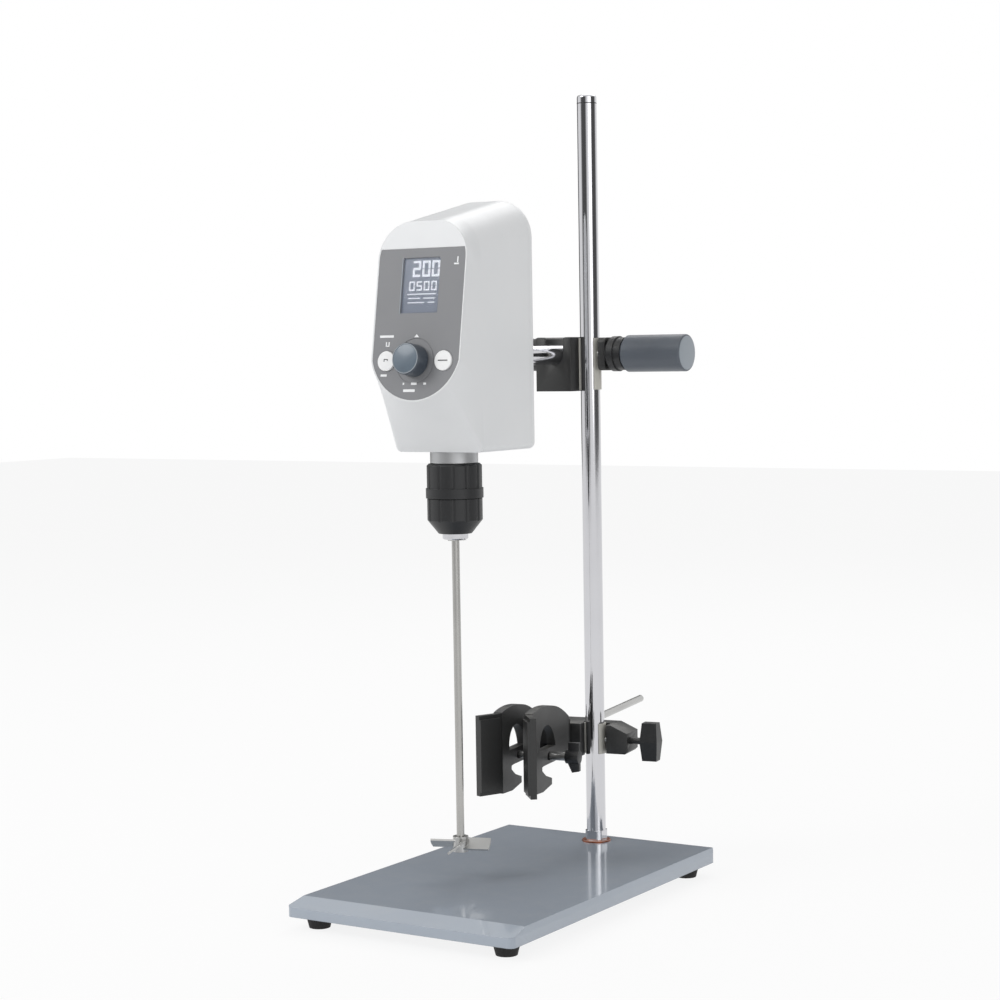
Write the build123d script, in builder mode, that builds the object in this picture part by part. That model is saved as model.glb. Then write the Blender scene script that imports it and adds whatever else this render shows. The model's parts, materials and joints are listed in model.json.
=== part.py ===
from build123d import *
import math
import os

# An overhead stirrer on a plate stand with a vessel clamp.
# Millimetres, +Z up. The origin is the centre of the base plate, on the bench.
# -Y is the front, where the display faces. Everything is drawn in its rest place.

# Clearances
run_gap = 0.06      # radial gap of a shaft that turns or slides in a bore
loose_gap = 0.3     # gap between pieces that move past each other
seat_gap = 0.1      # gap round a piece that is fixed in a recess

# Base plate, feet and support rod
plate_w = 200.0
plate_d = 316.0
plate_t = 12.0
plate_corner_r = 5.0
lip_run = 20.0      # the front edge slopes down over this depth
lip_drop = 4.5
rim_run = 1.6       # narrow bevel round the other edges
rim_drop = 4.5
foot_h = 10.0
foot_top_r = 10.5
foot_base_r = 8.0
foot_inset_x = 17.0
foot_inset_y = 19.0
foot_screw_r = 2.0
foot_screw_head_r = 3.8
foot_screw_head_h = 2.6
foot_screw_bite = 8.0
rod_r = 8.0
rod_above_plate = 617.0
rod_inset = 21.3    # rod axis to the plate's back edge
rod_cap_h = 6.6
rod_cap_spigot_r = 4.0
rod_cap_spigot_h = 9.0
rod_cap_round = 2.0
flats_across = 15.4
flats_over_corners_r = 9.0
flats_h = 8.0
rod_washer_r = 11.8
rod_washer_t = 1.2
stud_r = 6.0
nut_across = 18.0
nut_h = 5.6
nut_washer_r = 11.5
nut_washer_t = 1.5
stud_stick_out = 8.4

# Boss head that carries the motor head on the rod
arm_z = 427.5
arm_r = 8.0
boss_web = 6.2      # metal between the rod and the arm
boss_front = 20.0   # rod axis to the front face
boss_back_wall = 8.0
boss_drop = 30.2    # arm axis down to the underside
boss_rise = 14.2    # arm axis up to the top of the lobes
boss_lobe_round = 5.0
liner_t = 1.2
liner_mouth_deg = 100.0
lip_reach = 2.4     # how far the seat of the rod bites into the middle web
cheek_gap = 3.2     # liner to the threaded cheek
cheek_t = 6.5
cheek_front = 9.0
cheek_half_h = 13.5
screw_r = 5.0
pad_r = 4.2
pad_t = 2.0
collar_r = 14.4
collar_len = 8.2
collar_chamfer = 3.0
collar_neck_r = 13.4
collar_neck_len = 6.5
handle_r = 15.0
handle_len = 55.2
handle_chamfer = 2.5
handle_round = 1.2
handle_bite = 12.0
collar_stand_off = 1.0
arm_behind_boss = 14.0
arm_bevel = 1.2

# Motor head housing
head_reach = 172.9  # rod axis forward to the stirring axis
base_below_arm = 72.5
head_w = 80.0
head_wall = 3.5
base_front = 20.0   # stirring axis forward to the bottom front edge
base_corner_r = 5.0
chin_out = 55.8     # stirring axis forward to the chin
chin_up = 39.3      # bottom edge up to the chin
chin_h = 31.0       # height of the rounded chin
face_lean_deg = 8.9
face_len = 137.0
crown_r = 29.0      # rounded shoulders of the top
head_back = 58.0    # stirring axis back to the rear face
head_rise = 194.6   # bottom edge up to the rear top
cover_t = 9.0
cover_round = 6.0
cover_lip = 3.0
chin_split = 0.78   # share of the chin arc that meets the straight bottom edge

# Control panel and what is behind it
panel_t = 2.0
panel_rim = 1.2
panel_len = 116.0
window_w = 33.5
window_h = 42.0
window_up = 88.0    # chin up to the window's centre
window_t = 1.4
window_sink = 0.2
window_corner_r = 1.0
dial_ring_r = 17.2
dial_ring_w = 0.8
dial_ring_depth = 0.3
module_rim = 2.5
board_depth = 12.0
board_t = 1.6
board_w = 66.0
board_low = 20.0
board_high = 114.0
board_post_r = 2.5
board_post_x = 29.0
board_post_low = 46.0
board_post_high = 110.0
controls_up = 30.8  # chin up to the knob and buttons
button_side = 25.7
button_r = 7.6
button_proud = 1.4
button_flange_r = 9.2
button_flange_t = 1.4
button_stem_r = 2.4
button_travel = 0.6
button_rest_gap = 0.3
button_round = 0.6
switch_side = 6.2
switch_h = 3.4
knob_r = 12.3
knob_h = 12.5
knob_lift = 0.8
knob_round = 1.2
knob_taper_deg = 1.5
knob_shaft_r = 3.0
knob_shaft_stop = 2.0
bush_proud = 3.5
encoder_side = 13.0
encoder_bush_r = 4.6
encoder_body_h = 5.5

# Frame, bearings, motor and spindle inside the head
neck_r = 18.5
neck_down = 8.8     # how far the neck shows below the housing
neck_inner_r = 16.0
neck_top = 22.0     # housing underside up to the neck's top
bearing_r = 13.0
bearing_t = 8.0
bearing_step = 1.5
spindle_r = 5.0
spindle_bore_r = 3.4
spindle_top = 36.0  # housing underside up to the spindle's top
spindle_bite = 16.0 # spindle's reach into the chuck
lower_plate_t = 3.0
frame_post_r = 4.0
frame_post_x = 24.5
frame_post_front = 13.5
frame_post_back = 42.0
motor_plate_up = 60.0
motor_plate_t = 4.0
coupling_r = 10.0
coupling_hub_h = 9.0
spider_t = 5.0
rotor_shaft_r = 3.0
motor_r = 25.0
motor_len = 62.0
motor_wall = 2.0
motor_cap_t = 4.0
rotor_core_r = 13.5
rotor_gap = 0.6
core_len = 38.0
motor_bearing_r = 8.0
socket_w = 30.0
socket_len = 24.0
socket_wall = 5.0
arm_end_gap = 0.4

# Mains inlet with its switch, in the back cover
inlet_w = 27.5
inlet_h = 48.0
inlet_up = 33.0     # housing underside up to the module's centre
inlet_depth = 26.0
inlet_bezel = 2.5
inlet_bezel_t = 2.0
socket_cut_w = 24.0
socket_cut_h = 16.5
socket_cut_depth = 16.0
socket_drop = 12.0
pin_w = 2.0
pin_h = 4.0
pin_len = 12.0
pin_pitch = 7.0
pin_step = 4.0
rocker_w = 11.0
rocker_up = 13.0
rocker_r = 8.0
rocker_proud = 2.2
rocker_valley = 0.4
rocker_well = 11.0
rocker_pivot_in = 1.0
rocker_swing_deg = 8.0
cover_screw_r = 2.9
cover_screw_shank_r = 1.5
cover_screw_head_t = 1.6
cover_screw_len = 12.0
cover_screw_inset = 3.0
screw_pillar_r = 4.0
screw_pillar_len = 14.0

# Chuck
chuck_gap = 0.6     # neck to the chuck
chuck_len = 58.4
chuck_r = 21.3
chuck_band_r = 22.2
chuck_band_h = 7.5
chuck_split_gap = 0.4
rear_sleeve_len = 26.4
chuck_nose_len = 4.6
chuck_nose_r = 10.0
chuck_taper_h = 10.5
chuck_taper_r = 12.6
chuck_body_r = 12.5
chuck_bore_r = 5.6
sleeve_wall = 3.0
chuck_chamfer = 1.5
chuck_nose_chamfer = 0.8
flute_count = 12
flute_r = 2.6
flute_depth = 0.7
jaw_count = 3
jaw_r = 3.5
jaw_lean_deg = 15.0
jaw_axis_at_nose = 4.6
jaw_len = 23.0
jaw_nut_h = 6.0
jaw_nut_up = 15.5
jaw_nut_bore_r = 14.6
jaw_travel = 4.0
jaw_end_room = 2.0
jaw_proud = 0.8

# Stirring shaft and propeller
shaft_r = 3.0
shaft_into_chuck = 44.0
propeller_clear = 22.0   # plate top to the underside of the propeller hub
hub_r = 6.0
hub_h = 12.0
blade_count = 4
blade_reach = 23.5
blade_w = 12.0
blade_t = 1.6
blade_pitch_deg = 35.0
blade_turn_deg = 20.0

# Vessel clamp on the same rod; "ahead" runs along its own arm and "aside" to the right of it
clamp_yaw_deg = 9.9
clamp_side = 24.0   # rod axis to the clamp's arm, towards -X
clamp_z = 113.0
bar_z = 107.5       # height of the screw that holds the clamp on the rod
clamp_rod_r = 3.1
clamp_tail = 184.0  # rod axis back to the arm's end
cboss_low = 95.0
cboss_high = 122.0
cboss_front = 19.0
cboss_back = 15.0
cboss_side = 11.0   # arm's axis to the outer face
hub_start = 12.6    # rod axis out to the threaded hub
hub_end = 30.9
hub_front = 8.0
hub_low = 97.0
hub_high = 120.5
hub_end_low = 99.0
hub_end_high = 114.0
hub_low_bevel = 2.0
hub_high_bevel = 4.0
cboss_round = 1.2
bar_screw_r = 2.8
bar_pad_r = 2.4
bar_screw_out = 10.5
bar_t = 15.0
bar_half = 15.7
bar_mid_w = 15.0
bar_end_w = 9.6
bar_end_inset = 1.3
body_start = 21.0
body_step = 44.0
body_end = 64.0
body_half_w = 8.0
body_low = 95.0
body_high = 126.0
body_top = 131.5
body_end_low = 100.0
arm_bite = 19.5     # the arm's reach into the clamp's body
arm_bore_spare = 0.5
clamp_rod_bevel = 0.5
slot_start = 45.0
pivot_at = 52.0
pivot_side = 4.5
pivot_r = 1.8
tongue_r = 4.2
tongue_low = 106.0
tongue_h = 6.0
arm_in = 9.6        # clamp's centre plane to the inner face of a jaw arm
arm_t = 7.0
arm_crown = ((47, 133), (58, 138.8), (71, 144), (91, 148), (112, 148.6), (127, 146.5))
arm_under = ((127, 82), (107, 81), (87, 84), (87, 89), (100, 93), (108, 98), (108, 101), (104, 101.5), (47, 101.5))
arch_top = ((112, 114), (111, 124), (105, 131), (97, 133), (88, 130), (81, 122), (78, 114))
bolt_at = 90.0
bolt_z = 107.5
bolt_r = 2.7
bolt_slot_len = 9.6
bolt_slot_shift = 1.4
sleeve_r = 3.5
sleeve_len = 13.6
nut_t = 5.0
nut_flats = 10.0
bolt_spare = 12.5   # thread beyond the far nut when the jaws are closed
wing_hub_r = 5.5
wing_t = 11.0
wing_w = 4.0
wing_shape = ((2, 0), (2, 11.5), (11, 11.5), (11, -11.3), (5, -12.5), (1, -4), (1, 0))
grip_root = 4.0
grip_t = 5.0
grip_len = 22.0
grip_flare_deg = 32.0
grip_low = 82.5
grip_high = 146.0
grip_pad_t = 2.0
grip_pad_inset = 3.0

# Places worked out from the sizes above
plate_top = foot_h + plate_t
rod_y = plate_d / 2 - rod_inset
rod_top = plate_top + rod_above_plate
arm_x = -(rod_r + boss_web + arm_r)
shaft_x = arm_x
shaft_y = rod_y - head_reach
base_z = arm_z - base_below_arm
liner_r = rod_r + run_gap + liner_t
seat_r = liner_r + run_gap
arm_seat_r = arm_r + run_gap
boss_low = arm_z - boss_drop
boss_high = arm_z + boss_rise
lean = math.radians(face_lean_deg)
head_rear_y = shaft_y + head_back
shell_rear_y = head_rear_y - cover_t
face_top_y = shaft_y - chin_out + face_len * math.sin(lean)
face_top_z = base_z + chin_up + face_len * math.cos(lean)
crown_slope = (base_z + head_rise - face_top_z) / (head_rear_y - face_top_y)
half_w = head_w / 2

os.makedirs("parts", exist_ok=True)


def level(x, y, z):
    """A plane at the point, facing up."""
    return Plane(origin=(x, y, z), x_dir=(1, 0, 0), z_dir=(0, 0, 1))


def to_front(x, y, z):
    """A plane at the point, facing the front; its own y axis points up."""
    return Plane(origin=(x, y, z), x_dir=(1, 0, 0), z_dir=(0, -1, 0))


def to_right(x, y, z):
    """A plane at the point, facing +X; its own x axis is +Y and its y axis points up."""
    return Plane(origin=(x, y, z), x_dir=(0, 1, 0), z_dir=(1, 0, 0))


def to_left(x, y, z):
    """A plane at the point, facing -X; its own x axis is -Y and its y axis points up."""
    return Plane(origin=(x, y, z), x_dir=(0, -1, 0), z_dir=(-1, 0, 0))


face_plane = Plane(
    origin=(shaft_x, shaft_y - chin_out, base_z + chin_up),
    x_dir=(1, 0, 0),
    z_dir=(0, -math.cos(lean), math.sin(lean)),
)


def on_face(x, up, depth=0.0):
    """A plane on the sloping face, facing out: x from the middle, up from the chin, depth inwards."""
    here = face_plane.offset(-depth)
    return Plane(origin=here.from_local_coords((x, up, 0)), x_dir=here.x_dir, z_dir=here.z_dir)


clamp_yaw = math.radians(clamp_yaw_deg)
forward = Vector(math.sin(clamp_yaw), -math.cos(clamp_yaw), 0)
sideways = Vector(math.cos(clamp_yaw), math.sin(clamp_yaw), 0)
clamp_origin = Vector(-clamp_side, rod_y, 0)


def clamp_point(ahead, aside, z):
    """A point of the vessel clamp: ahead along its rod, aside to the right of it, z above the bench."""
    return clamp_origin + forward * ahead + sideways * aside + Vector(0, 0, z)


def clamp_upright(aside):
    """The clamp's upright plane at aside, facing left; its x axis runs ahead and its y axis up."""
    return Plane(origin=clamp_point(0, aside, 0), x_dir=forward, z_dir=sideways * -1)


def clamp_level(z):
    """The clamp's level plane at z; its x axis runs to the right and its y axis backwards."""
    return Plane(origin=clamp_point(0, 0, z), x_dir=sideways, z_dir=(0, 0, 1))


def clamp_across(ahead, aside, z):
    """A plane of the vessel clamp that faces right."""
    return Plane(origin=clamp_point(ahead, aside, z), x_dir=forward * -1, z_dir=sideways)


def clamp_away(ahead, aside, z):
    """A plane of the vessel clamp that faces left."""
    return Plane(origin=clamp_point(ahead, aside, z), x_dir=forward, z_dir=sideways * -1)


def clamp_ahead(ahead, aside, z):
    """A plane of the vessel clamp that faces ahead."""
    return Plane(origin=clamp_point(ahead, aside, z), x_dir=sideways, z_dir=forward)


# Base plate: a slab with a sloping front lip, a bevel round the other edges and rounded corners
with BuildPart() as base_plate:
    with BuildSketch(level(0, 0, foot_h)):
        RectangleRounded(plate_w, plate_d, plate_corner_r)
    extrude(amount=plate_t)
    with BuildSketch(to_right(-plate_w / 2 - 1, 0, 0)):
        with BuildLine():
            Polyline(
                (-plate_d / 2 - 1, plate_top + 1),
                (-plate_d / 2 + lip_run, plate_top + 1),
                (-plate_d / 2 + lip_run, plate_top),
                (-plate_d / 2, plate_top - lip_drop),
                (-plate_d / 2 - 1, plate_top - lip_drop),
                close=True,
            )
        make_face()
    extrude(amount=plate_w + 2, mode=Mode.SUBTRACT)
    with BuildSketch(to_front(0, plate_d / 2 + 1, 0)):
        with BuildLine():
            Polyline(
                (plate_w / 2 + 1, plate_top + 1),
                (plate_w / 2 - rim_run, plate_top + 1),
                (plate_w / 2 - rim_run, plate_top),
                (plate_w / 2, plate_top - rim_drop),
                (plate_w / 2 + 1, plate_top - rim_drop),
                close=True,
            )
        make_face()
        mirror(about=Plane.YZ)
    extrude(amount=plate_d + 2, mode=Mode.SUBTRACT)
    with BuildSketch(to_right(-plate_w / 2 - 1, 0, 0)):
        with BuildLine():
            Polyline(
                (plate_d / 2 + 1, plate_top + 1),
                (plate_d / 2 - rim_run, plate_top + 1),
                (plate_d / 2 - rim_run, plate_top),
                (plate_d / 2, plate_top - rim_drop),
                (plate_d / 2 + 1, plate_top - rim_drop),
                close=True,
            )
        make_face()
    extrude(amount=plate_w + 2, mode=Mode.SUBTRACT)
    with BuildSketch(level(0, rod_y, foot_h)):
        Circle(stud_r + loose_gap)
    extrude(amount=plate_t, mode=Mode.SUBTRACT)
    with BuildSketch(level(0, 0, foot_h)):
        with GridLocations(plate_w - 2 * foot_inset_x, plate_d - 2 * foot_inset_y, 2, 2):
            Circle(foot_screw_r + seat_gap)
    extrude(amount=foot_screw_bite + seat_gap, mode=Mode.SUBTRACT)
base_plate.part.label = "base_plate"
export_step(base_plate.part, "parts/base_plate.step")

# Four rubber feet, each held by a screw from below
with BuildPart() as plate_feet:
    with BuildSketch(level(0, 0, 0)):
        with GridLocations(plate_w - 2 * foot_inset_x, plate_d - 2 * foot_inset_y, 2, 2):
            Circle(foot_base_r)
    extrude(amount=foot_h, taper=-math.degrees(math.atan((foot_top_r - foot_base_r) / foot_h)))
    with BuildSketch(level(0, 0, 0)):
        with GridLocations(plate_w - 2 * foot_inset_x, plate_d - 2 * foot_inset_y, 2, 2):
            Circle(foot_screw_r + seat_gap)
    extrude(amount=foot_h, mode=Mode.SUBTRACT)
    with BuildSketch(level(0, 0, 0)):
        with GridLocations(plate_w - 2 * foot_inset_x, plate_d - 2 * foot_inset_y, 2, 2):
            Circle(foot_screw_head_r + seat_gap)
    extrude(amount=foot_h / 2, mode=Mode.SUBTRACT)
plate_feet.part.label = "plate_feet"
export_step(plate_feet.part, "parts/plate_feet.step")

with BuildPart() as foot_screws:
    with BuildSketch(level(0, 0, foot_h / 2 - foot_screw_head_h)):
        with GridLocations(plate_w - 2 * foot_inset_x, plate_d - 2 * foot_inset_y, 2, 2):
            Circle(foot_screw_head_r)
    extrude(amount=foot_screw_head_h)
    with BuildSketch(level(0, 0, foot_h / 2)):
        with GridLocations(plate_w - 2 * foot_inset_x, plate_d - 2 * foot_inset_y, 2, 2):
            Circle(foot_screw_r)
    extrude(amount=foot_h / 2 + foot_screw_bite)
foot_screws.part.label = "foot_screws"
export_step(foot_screws.part, "parts/foot_screws.step")

# Support rod: wrench flats at the foot, a stud through the plate and a plug in the top
flats_low = plate_top + rod_washer_t
with BuildPart() as support_rod:
    with BuildSketch(level(0, rod_y, flats_low)):
        Circle(flats_over_corners_r)
        Rectangle(flats_across, flats_across, mode=Mode.INTERSECT)
    extrude(amount=flats_h)
    with BuildSketch(level(0, rod_y, flats_low + flats_h)):
        Circle(rod_r)
    extrude(amount=rod_top - rod_cap_h - flats_low - flats_h)
    with BuildSketch(level(0, rod_y, foot_h - stud_stick_out)):
        Circle(stud_r)
    extrude(amount=flats_low - foot_h + stud_stick_out)
    with BuildSketch(level(0, rod_y, rod_top - rod_cap_h)):
        Circle(rod_cap_spigot_r)
    extrude(amount=-rod_cap_spigot_h, mode=Mode.SUBTRACT)
support_rod.part.label = "support_rod"
export_step(support_rod.part, "parts/support_rod.step")

with BuildPart() as rod_cap:
    with BuildSketch(level(0, rod_y, rod_top - rod_cap_h)):
        Circle(rod_r)
    extrude(amount=rod_cap_h)
    fillet(rod_cap.faces().sort_by(Axis.Z)[-1].edges(), radius=rod_cap_round)
    with BuildSketch(level(0, rod_y, rod_top - rod_cap_h)):
        Circle(rod_cap_spigot_r - run_gap)
    extrude(amount=-rod_cap_spigot_h + seat_gap)
rod_cap.part.label = "rod_cap"
export_step(rod_cap.part, "parts/rod_cap.step")

# The washer above the plate and the washer and nut under it are separate solids in one node
with BuildPart() as rod_nut:
    with BuildSketch(level(0, rod_y, plate_top)):
        Circle(rod_washer_r)
        Circle(stud_r + seat_gap, mode=Mode.SUBTRACT)
    extrude(amount=rod_washer_t)
    with BuildSketch(level(0, rod_y, foot_h)):
        Circle(nut_washer_r)
        Circle(stud_r + seat_gap, mode=Mode.SUBTRACT)
    extrude(amount=-nut_washer_t)
    with BuildSketch(level(0, rod_y, foot_h - nut_washer_t - seat_gap / 2)):
        RegularPolygon(nut_across / 2, 6, major_radius=False)
        Circle(stud_r + seat_gap, mode=Mode.SUBTRACT)
    extrude(amount=-nut_h)
rod_nut.part.label = "rod_nut"
export_step(rod_nut.part, "parts/rod_nut.step")


def open_liner(low, high):
    """A plastic liner round the rod, open at the front, between two heights."""
    with BuildPart() as liner:
        with BuildSketch(level(0, rod_y, low)):
            Circle(liner_r)
            Circle(rod_r + run_gap, mode=Mode.SUBTRACT)
            with BuildLine():
                reach = 2 * liner_r
                side = reach * math.tan(math.radians(liner_mouth_deg / 2))
                Polyline((0, 0), (side, -reach), (-side, -reach), close=True)
            make_face(mode=Mode.SUBTRACT)
        extrude(amount=high - low)
    return liner


rod_liner = open_liner(boss_low + 1, boss_high - 1)
rod_liner.part.label = "rod_liner"
export_step(rod_liner.part, "parts/rod_liner.step")

# Boss head: an open-topped channel for the arm, a front-opening seat for the rod, a cheek each side
arm_cheek_x = arm_x - arm_seat_r - cheek_t - boss_web / 2
web_right_x = -seat_r + lip_reach
cheek_in_x = liner_r + cheek_gap
cheek_out_x = cheek_in_x + cheek_t
boss_back = liner_r + boss_back_wall
with BuildPart() as boss_casting:
    with BuildSketch(to_front(0, rod_y - boss_front, 0)):
        with BuildLine():
            Polyline(
                (arm_cheek_x, boss_low),
                (web_right_x, boss_low),
                (web_right_x, boss_high),
                (arm_x + arm_seat_r, boss_high),
                (arm_x + arm_seat_r, arm_z),
                (arm_x - arm_seat_r, arm_z),
                (arm_x - arm_seat_r, boss_high),
                (arm_cheek_x, boss_high),
                close=True,
            )
        make_face()
        with Locations((arm_x, arm_z)):
            Circle(arm_seat_r, mode=Mode.SUBTRACT)
    extrude(amount=-(boss_front + boss_back))
    tops = boss_casting.edges().filter_by(Axis.Y).group_by(Axis.Z)[-1].sort_by(Axis.X)
    fillet([tops[0], tops[1], tops[2]], radius=boss_lobe_round / 2)
    with BuildSketch(level(0, rod_y, arm_z - cheek_half_h)):
        with Locations(((web_right_x + cheek_out_x) / 2, boss_back - boss_back_wall / 2)):
            Rectangle(cheek_out_x - web_right_x, boss_back_wall)
        with Locations(((cheek_in_x + cheek_out_x) / 2, (boss_back - cheek_front) / 2)):
            Rectangle(cheek_t, boss_back + cheek_front)
    extrude(amount=2 * cheek_half_h)
    cheek_y = rod_y - cheek_front
    cheek_edges = boss_casting.edges().filter_by(Axis.X).filter_by_position(Axis.Y, cheek_y - 1, cheek_y + 1)
    fillet(cheek_edges, radius=cheek_front / 2)
    with BuildSketch(level(0, rod_y, boss_low - 1)):
        Circle(seat_r)
    extrude(amount=boss_high - boss_low + 2, mode=Mode.SUBTRACT)
    with BuildSketch(to_right(cheek_in_x - cheek_gap, rod_y, arm_z)):
        Circle(screw_r + run_gap)
    extrude(amount=cheek_t + 2 * cheek_gap, mode=Mode.SUBTRACT)
    with BuildSketch(to_left(arm_x, rod_y, arm_z)):
        Circle(screw_r + run_gap)
    extrude(amount=arm_x - arm_cheek_x + 1, mode=Mode.SUBTRACT)
boss_casting.part.label = "boss_casting"
export_step(boss_casting.part, "parts/boss_casting.step")


def clamp_screw(plane, shank_start, shank_end, collar_start):
    """A clamp screw with its black collar as a second solid; distances run along the plane's normal."""
    with BuildPart() as screw:
        with BuildSketch(plane.offset(shank_start)):
            Circle(screw_r)
        extrude(amount=shank_end - shank_start)
        with BuildSketch(plane.offset(collar_start)):
            Circle(collar_r)
        extrude(amount=collar_len)
        chamfer(screw.edges().filter_by(GeomType.CIRCLE).sort_by(lambda edge: edge.radius)[-2:]
                .sort_by(lambda edge: plane.to_local_coords(edge.center()).Z)[0], length=collar_chamfer)
        with BuildSketch(plane.offset(collar_start + collar_len)):
            Circle(collar_neck_r)
        extrude(amount=collar_neck_len)
    return screw


def clamp_handle(plane, start, bore_depth):
    """A round handle with a bevelled inner rim and a slightly rounded outer rim."""
    with BuildPart() as handle:
        with BuildSketch(plane.offset(start)):
            Circle(handle_r)
        extrude(amount=handle_len)
        rims = handle.edges().filter_by(GeomType.CIRCLE)
        rims = rims.sort_by(lambda edge: plane.to_local_coords(edge.center()).Z)
        chamfer(rims[0], length=handle_chamfer)
        fillet(rims[-1], radius=handle_round)
        with BuildSketch(plane.offset(start)):
            Circle(screw_r)
        extrude(amount=bore_depth, mode=Mode.SUBTRACT)
    return handle


def clamp_pad(plane, start, radius):
    """The pressure pad at the tip of a clamp screw."""
    with BuildPart() as pad:
        with BuildSketch(plane.offset(start)):
            Circle(radius)
        extrude(amount=pad_t)
    return pad


# Right-hand screw, which presses on the rod
rod_axis_right = to_right(0, rod_y, arm_z)
rod_pad_start = liner_r + run_gap
rod_collar_start = cheek_out_x + collar_stand_off
rod_handle_start = rod_collar_start + collar_len + collar_neck_len
rod_pad = clamp_pad(rod_axis_right, rod_pad_start, pad_r)
rod_pad.part.label = "rod_pad"
export_step(rod_pad.part, "parts/rod_pad.step")
rod_screw = clamp_screw(
    rod_axis_right,
    rod_pad_start + pad_t + run_gap,
    rod_handle_start + handle_bite,
    rod_collar_start,
)
rod_screw.part.label = "rod_screw"
export_step(rod_screw.part, "parts/rod_screw.step")
rod_handle = clamp_handle(rod_axis_right, rod_handle_start, handle_bite)
rod_handle.part.label = "rod_handle"
export_step(rod_handle.part, "parts/rod_handle.step")

# Left-hand screw, which presses on the arm
arm_axis_left = to_left(arm_x, rod_y, arm_z)
arm_pad_start = arm_r + run_gap
arm_collar_start = arm_x - arm_cheek_x + collar_stand_off
arm_handle_start = arm_collar_start + collar_len + collar_neck_len
arm_pad = clamp_pad(arm_axis_left, arm_pad_start, pad_r)
arm_pad.part.label = "arm_pad"
export_step(arm_pad.part, "parts/arm_pad.step")
arm_screw = clamp_screw(
    arm_axis_left,
    arm_pad_start + pad_t + run_gap,
    arm_handle_start + handle_bite,
    arm_collar_start,
)
arm_screw.part.label = "arm_screw"
export_step(arm_screw.part, "parts/arm_screw.step")
arm_handle = clamp_handle(arm_axis_left, arm_handle_start, handle_bite)
arm_handle.part.label = "arm_handle"
export_step(arm_handle.part, "parts/arm_handle.step")

# Support arm: a round bar from the socket inside the head to just behind the boss head
cover_inner_y = head_rear_y - cover_lip
arm_front_y = cover_inner_y - socket_len + socket_wall + arm_end_gap
with BuildPart() as support_arm:
    with BuildSketch(to_front(arm_x, arm_front_y, arm_z)):
        Circle(arm_r)
    extrude(amount=-(rod_y + boss_back + arm_behind_boss - arm_front_y))
    arm_rims = support_arm.edges().filter_by(GeomType.CIRCLE).sort_by(Axis.Y)
    chamfer(arm_rims[-1], length=arm_bevel)
support_arm.part.label = "support_arm"
export_step(support_arm.part, "parts/support_arm.step")


def outline_face(plane, gap):
    """The sloping face's outline on a plane, drawn in by gap: rounded chin and rounded shoulders."""
    side = half_w - gap
    chin_r = (half_w ** 2 + chin_h ** 2) / (2 * chin_h)
    arc_r = chin_r - gap
    side_angle = math.asin(side / arc_r)
    split_angle = side_angle * chin_split
    crown = crown_r - gap
    top = face_len - gap

    def on_chin(angle):
        return (arc_r * math.sin(angle), chin_r - arc_r * math.cos(angle))

    def on_crown(sign, angle):
        return (sign * (side - crown + crown * math.sin(angle)), top - crown + crown * math.cos(angle))

    with BuildSketch(plane) as sketch:
        with BuildLine():
            ThreePointArc(on_chin(-split_angle), on_chin(0), on_chin(split_angle))
            ThreePointArc(on_chin(split_angle), on_chin((split_angle + side_angle) / 2), on_chin(side_angle))
            Line(on_chin(side_angle), (side, top - crown))
            ThreePointArc((side, top - crown), on_crown(1, math.pi / 4), (side - crown, top))
            Line((side - crown, top), (crown - side, top))
            ThreePointArc((crown - side, top), on_crown(-1, math.pi / 4), (-side, top - crown))
            Line((-side, top - crown), on_chin(-side_angle))
            ThreePointArc(on_chin(-side_angle), on_chin(-(split_angle + side_angle) / 2), on_chin(-split_angle))
        make_face()
    return sketch


def outline_upright(y, gap):
    """The upright outline of the housing at y, drawn in by gap: flat bottom and rounded shoulders."""
    side = half_w - gap
    crown = crown_r - gap
    top = face_top_z + crown_slope * (y - face_top_y) - base_z - gap
    corner = base_corner_r - gap
    bend = corner * (1 - math.cos(math.pi / 4))
    with BuildSketch(to_front(shaft_x, y, base_z)) as sketch:
        with BuildLine():
            Line((corner - side, gap), (side - corner, gap))
            ThreePointArc((side - corner, gap), (side - bend, gap + bend), (side, gap + corner))
            Line((side, gap + corner), (side, top - crown))
            crown_bend = crown * (1 - math.cos(math.pi / 4))
            ThreePointArc((side, top - crown), (side - crown_bend, top - crown_bend), (side - crown, top))
            Line((side - crown, top), (crown - side, top))
            ThreePointArc((crown - side, top), (crown_bend - side, top - crown_bend), (-side, top - crown))
            Line((-side, top - crown), (-side, gap + corner))
            ThreePointArc((-side, gap + corner), (bend - side, gap + bend), (corner - side, gap))
        make_face()
    return sketch


def panel_blank(gap, top):
    """The control panel's blank, drawn in from the face's outline by gap and cut off straight at top."""
    with BuildPart() as blank:
        extrude(outline_face(face_plane, gap).sketch, amount=-panel_t)
        with BuildSketch(on_face(0, top + face_len / 2)):
            Rectangle(2 * head_w, face_len)
        extrude(amount=-2 * panel_t, both=True, mode=Mode.SUBTRACT)
    return blank


module_w = window_w + 2 * module_rim
module_h = window_h + 2 * module_rim
board_mid = (board_low + board_high) / 2
board_len = board_high - board_low
post_mid = (board_post_low + board_post_high) / 2
cover_screw_x = half_w - head_wall - cover_screw_inset
cover_screw_low = base_z + 12.0
cover_screw_high = base_z + head_rise - crown_r - 8.0
cover_screw_mid = (cover_screw_low + cover_screw_high) / 2
cover_screw_rise = cover_screw_high - cover_screw_low

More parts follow.
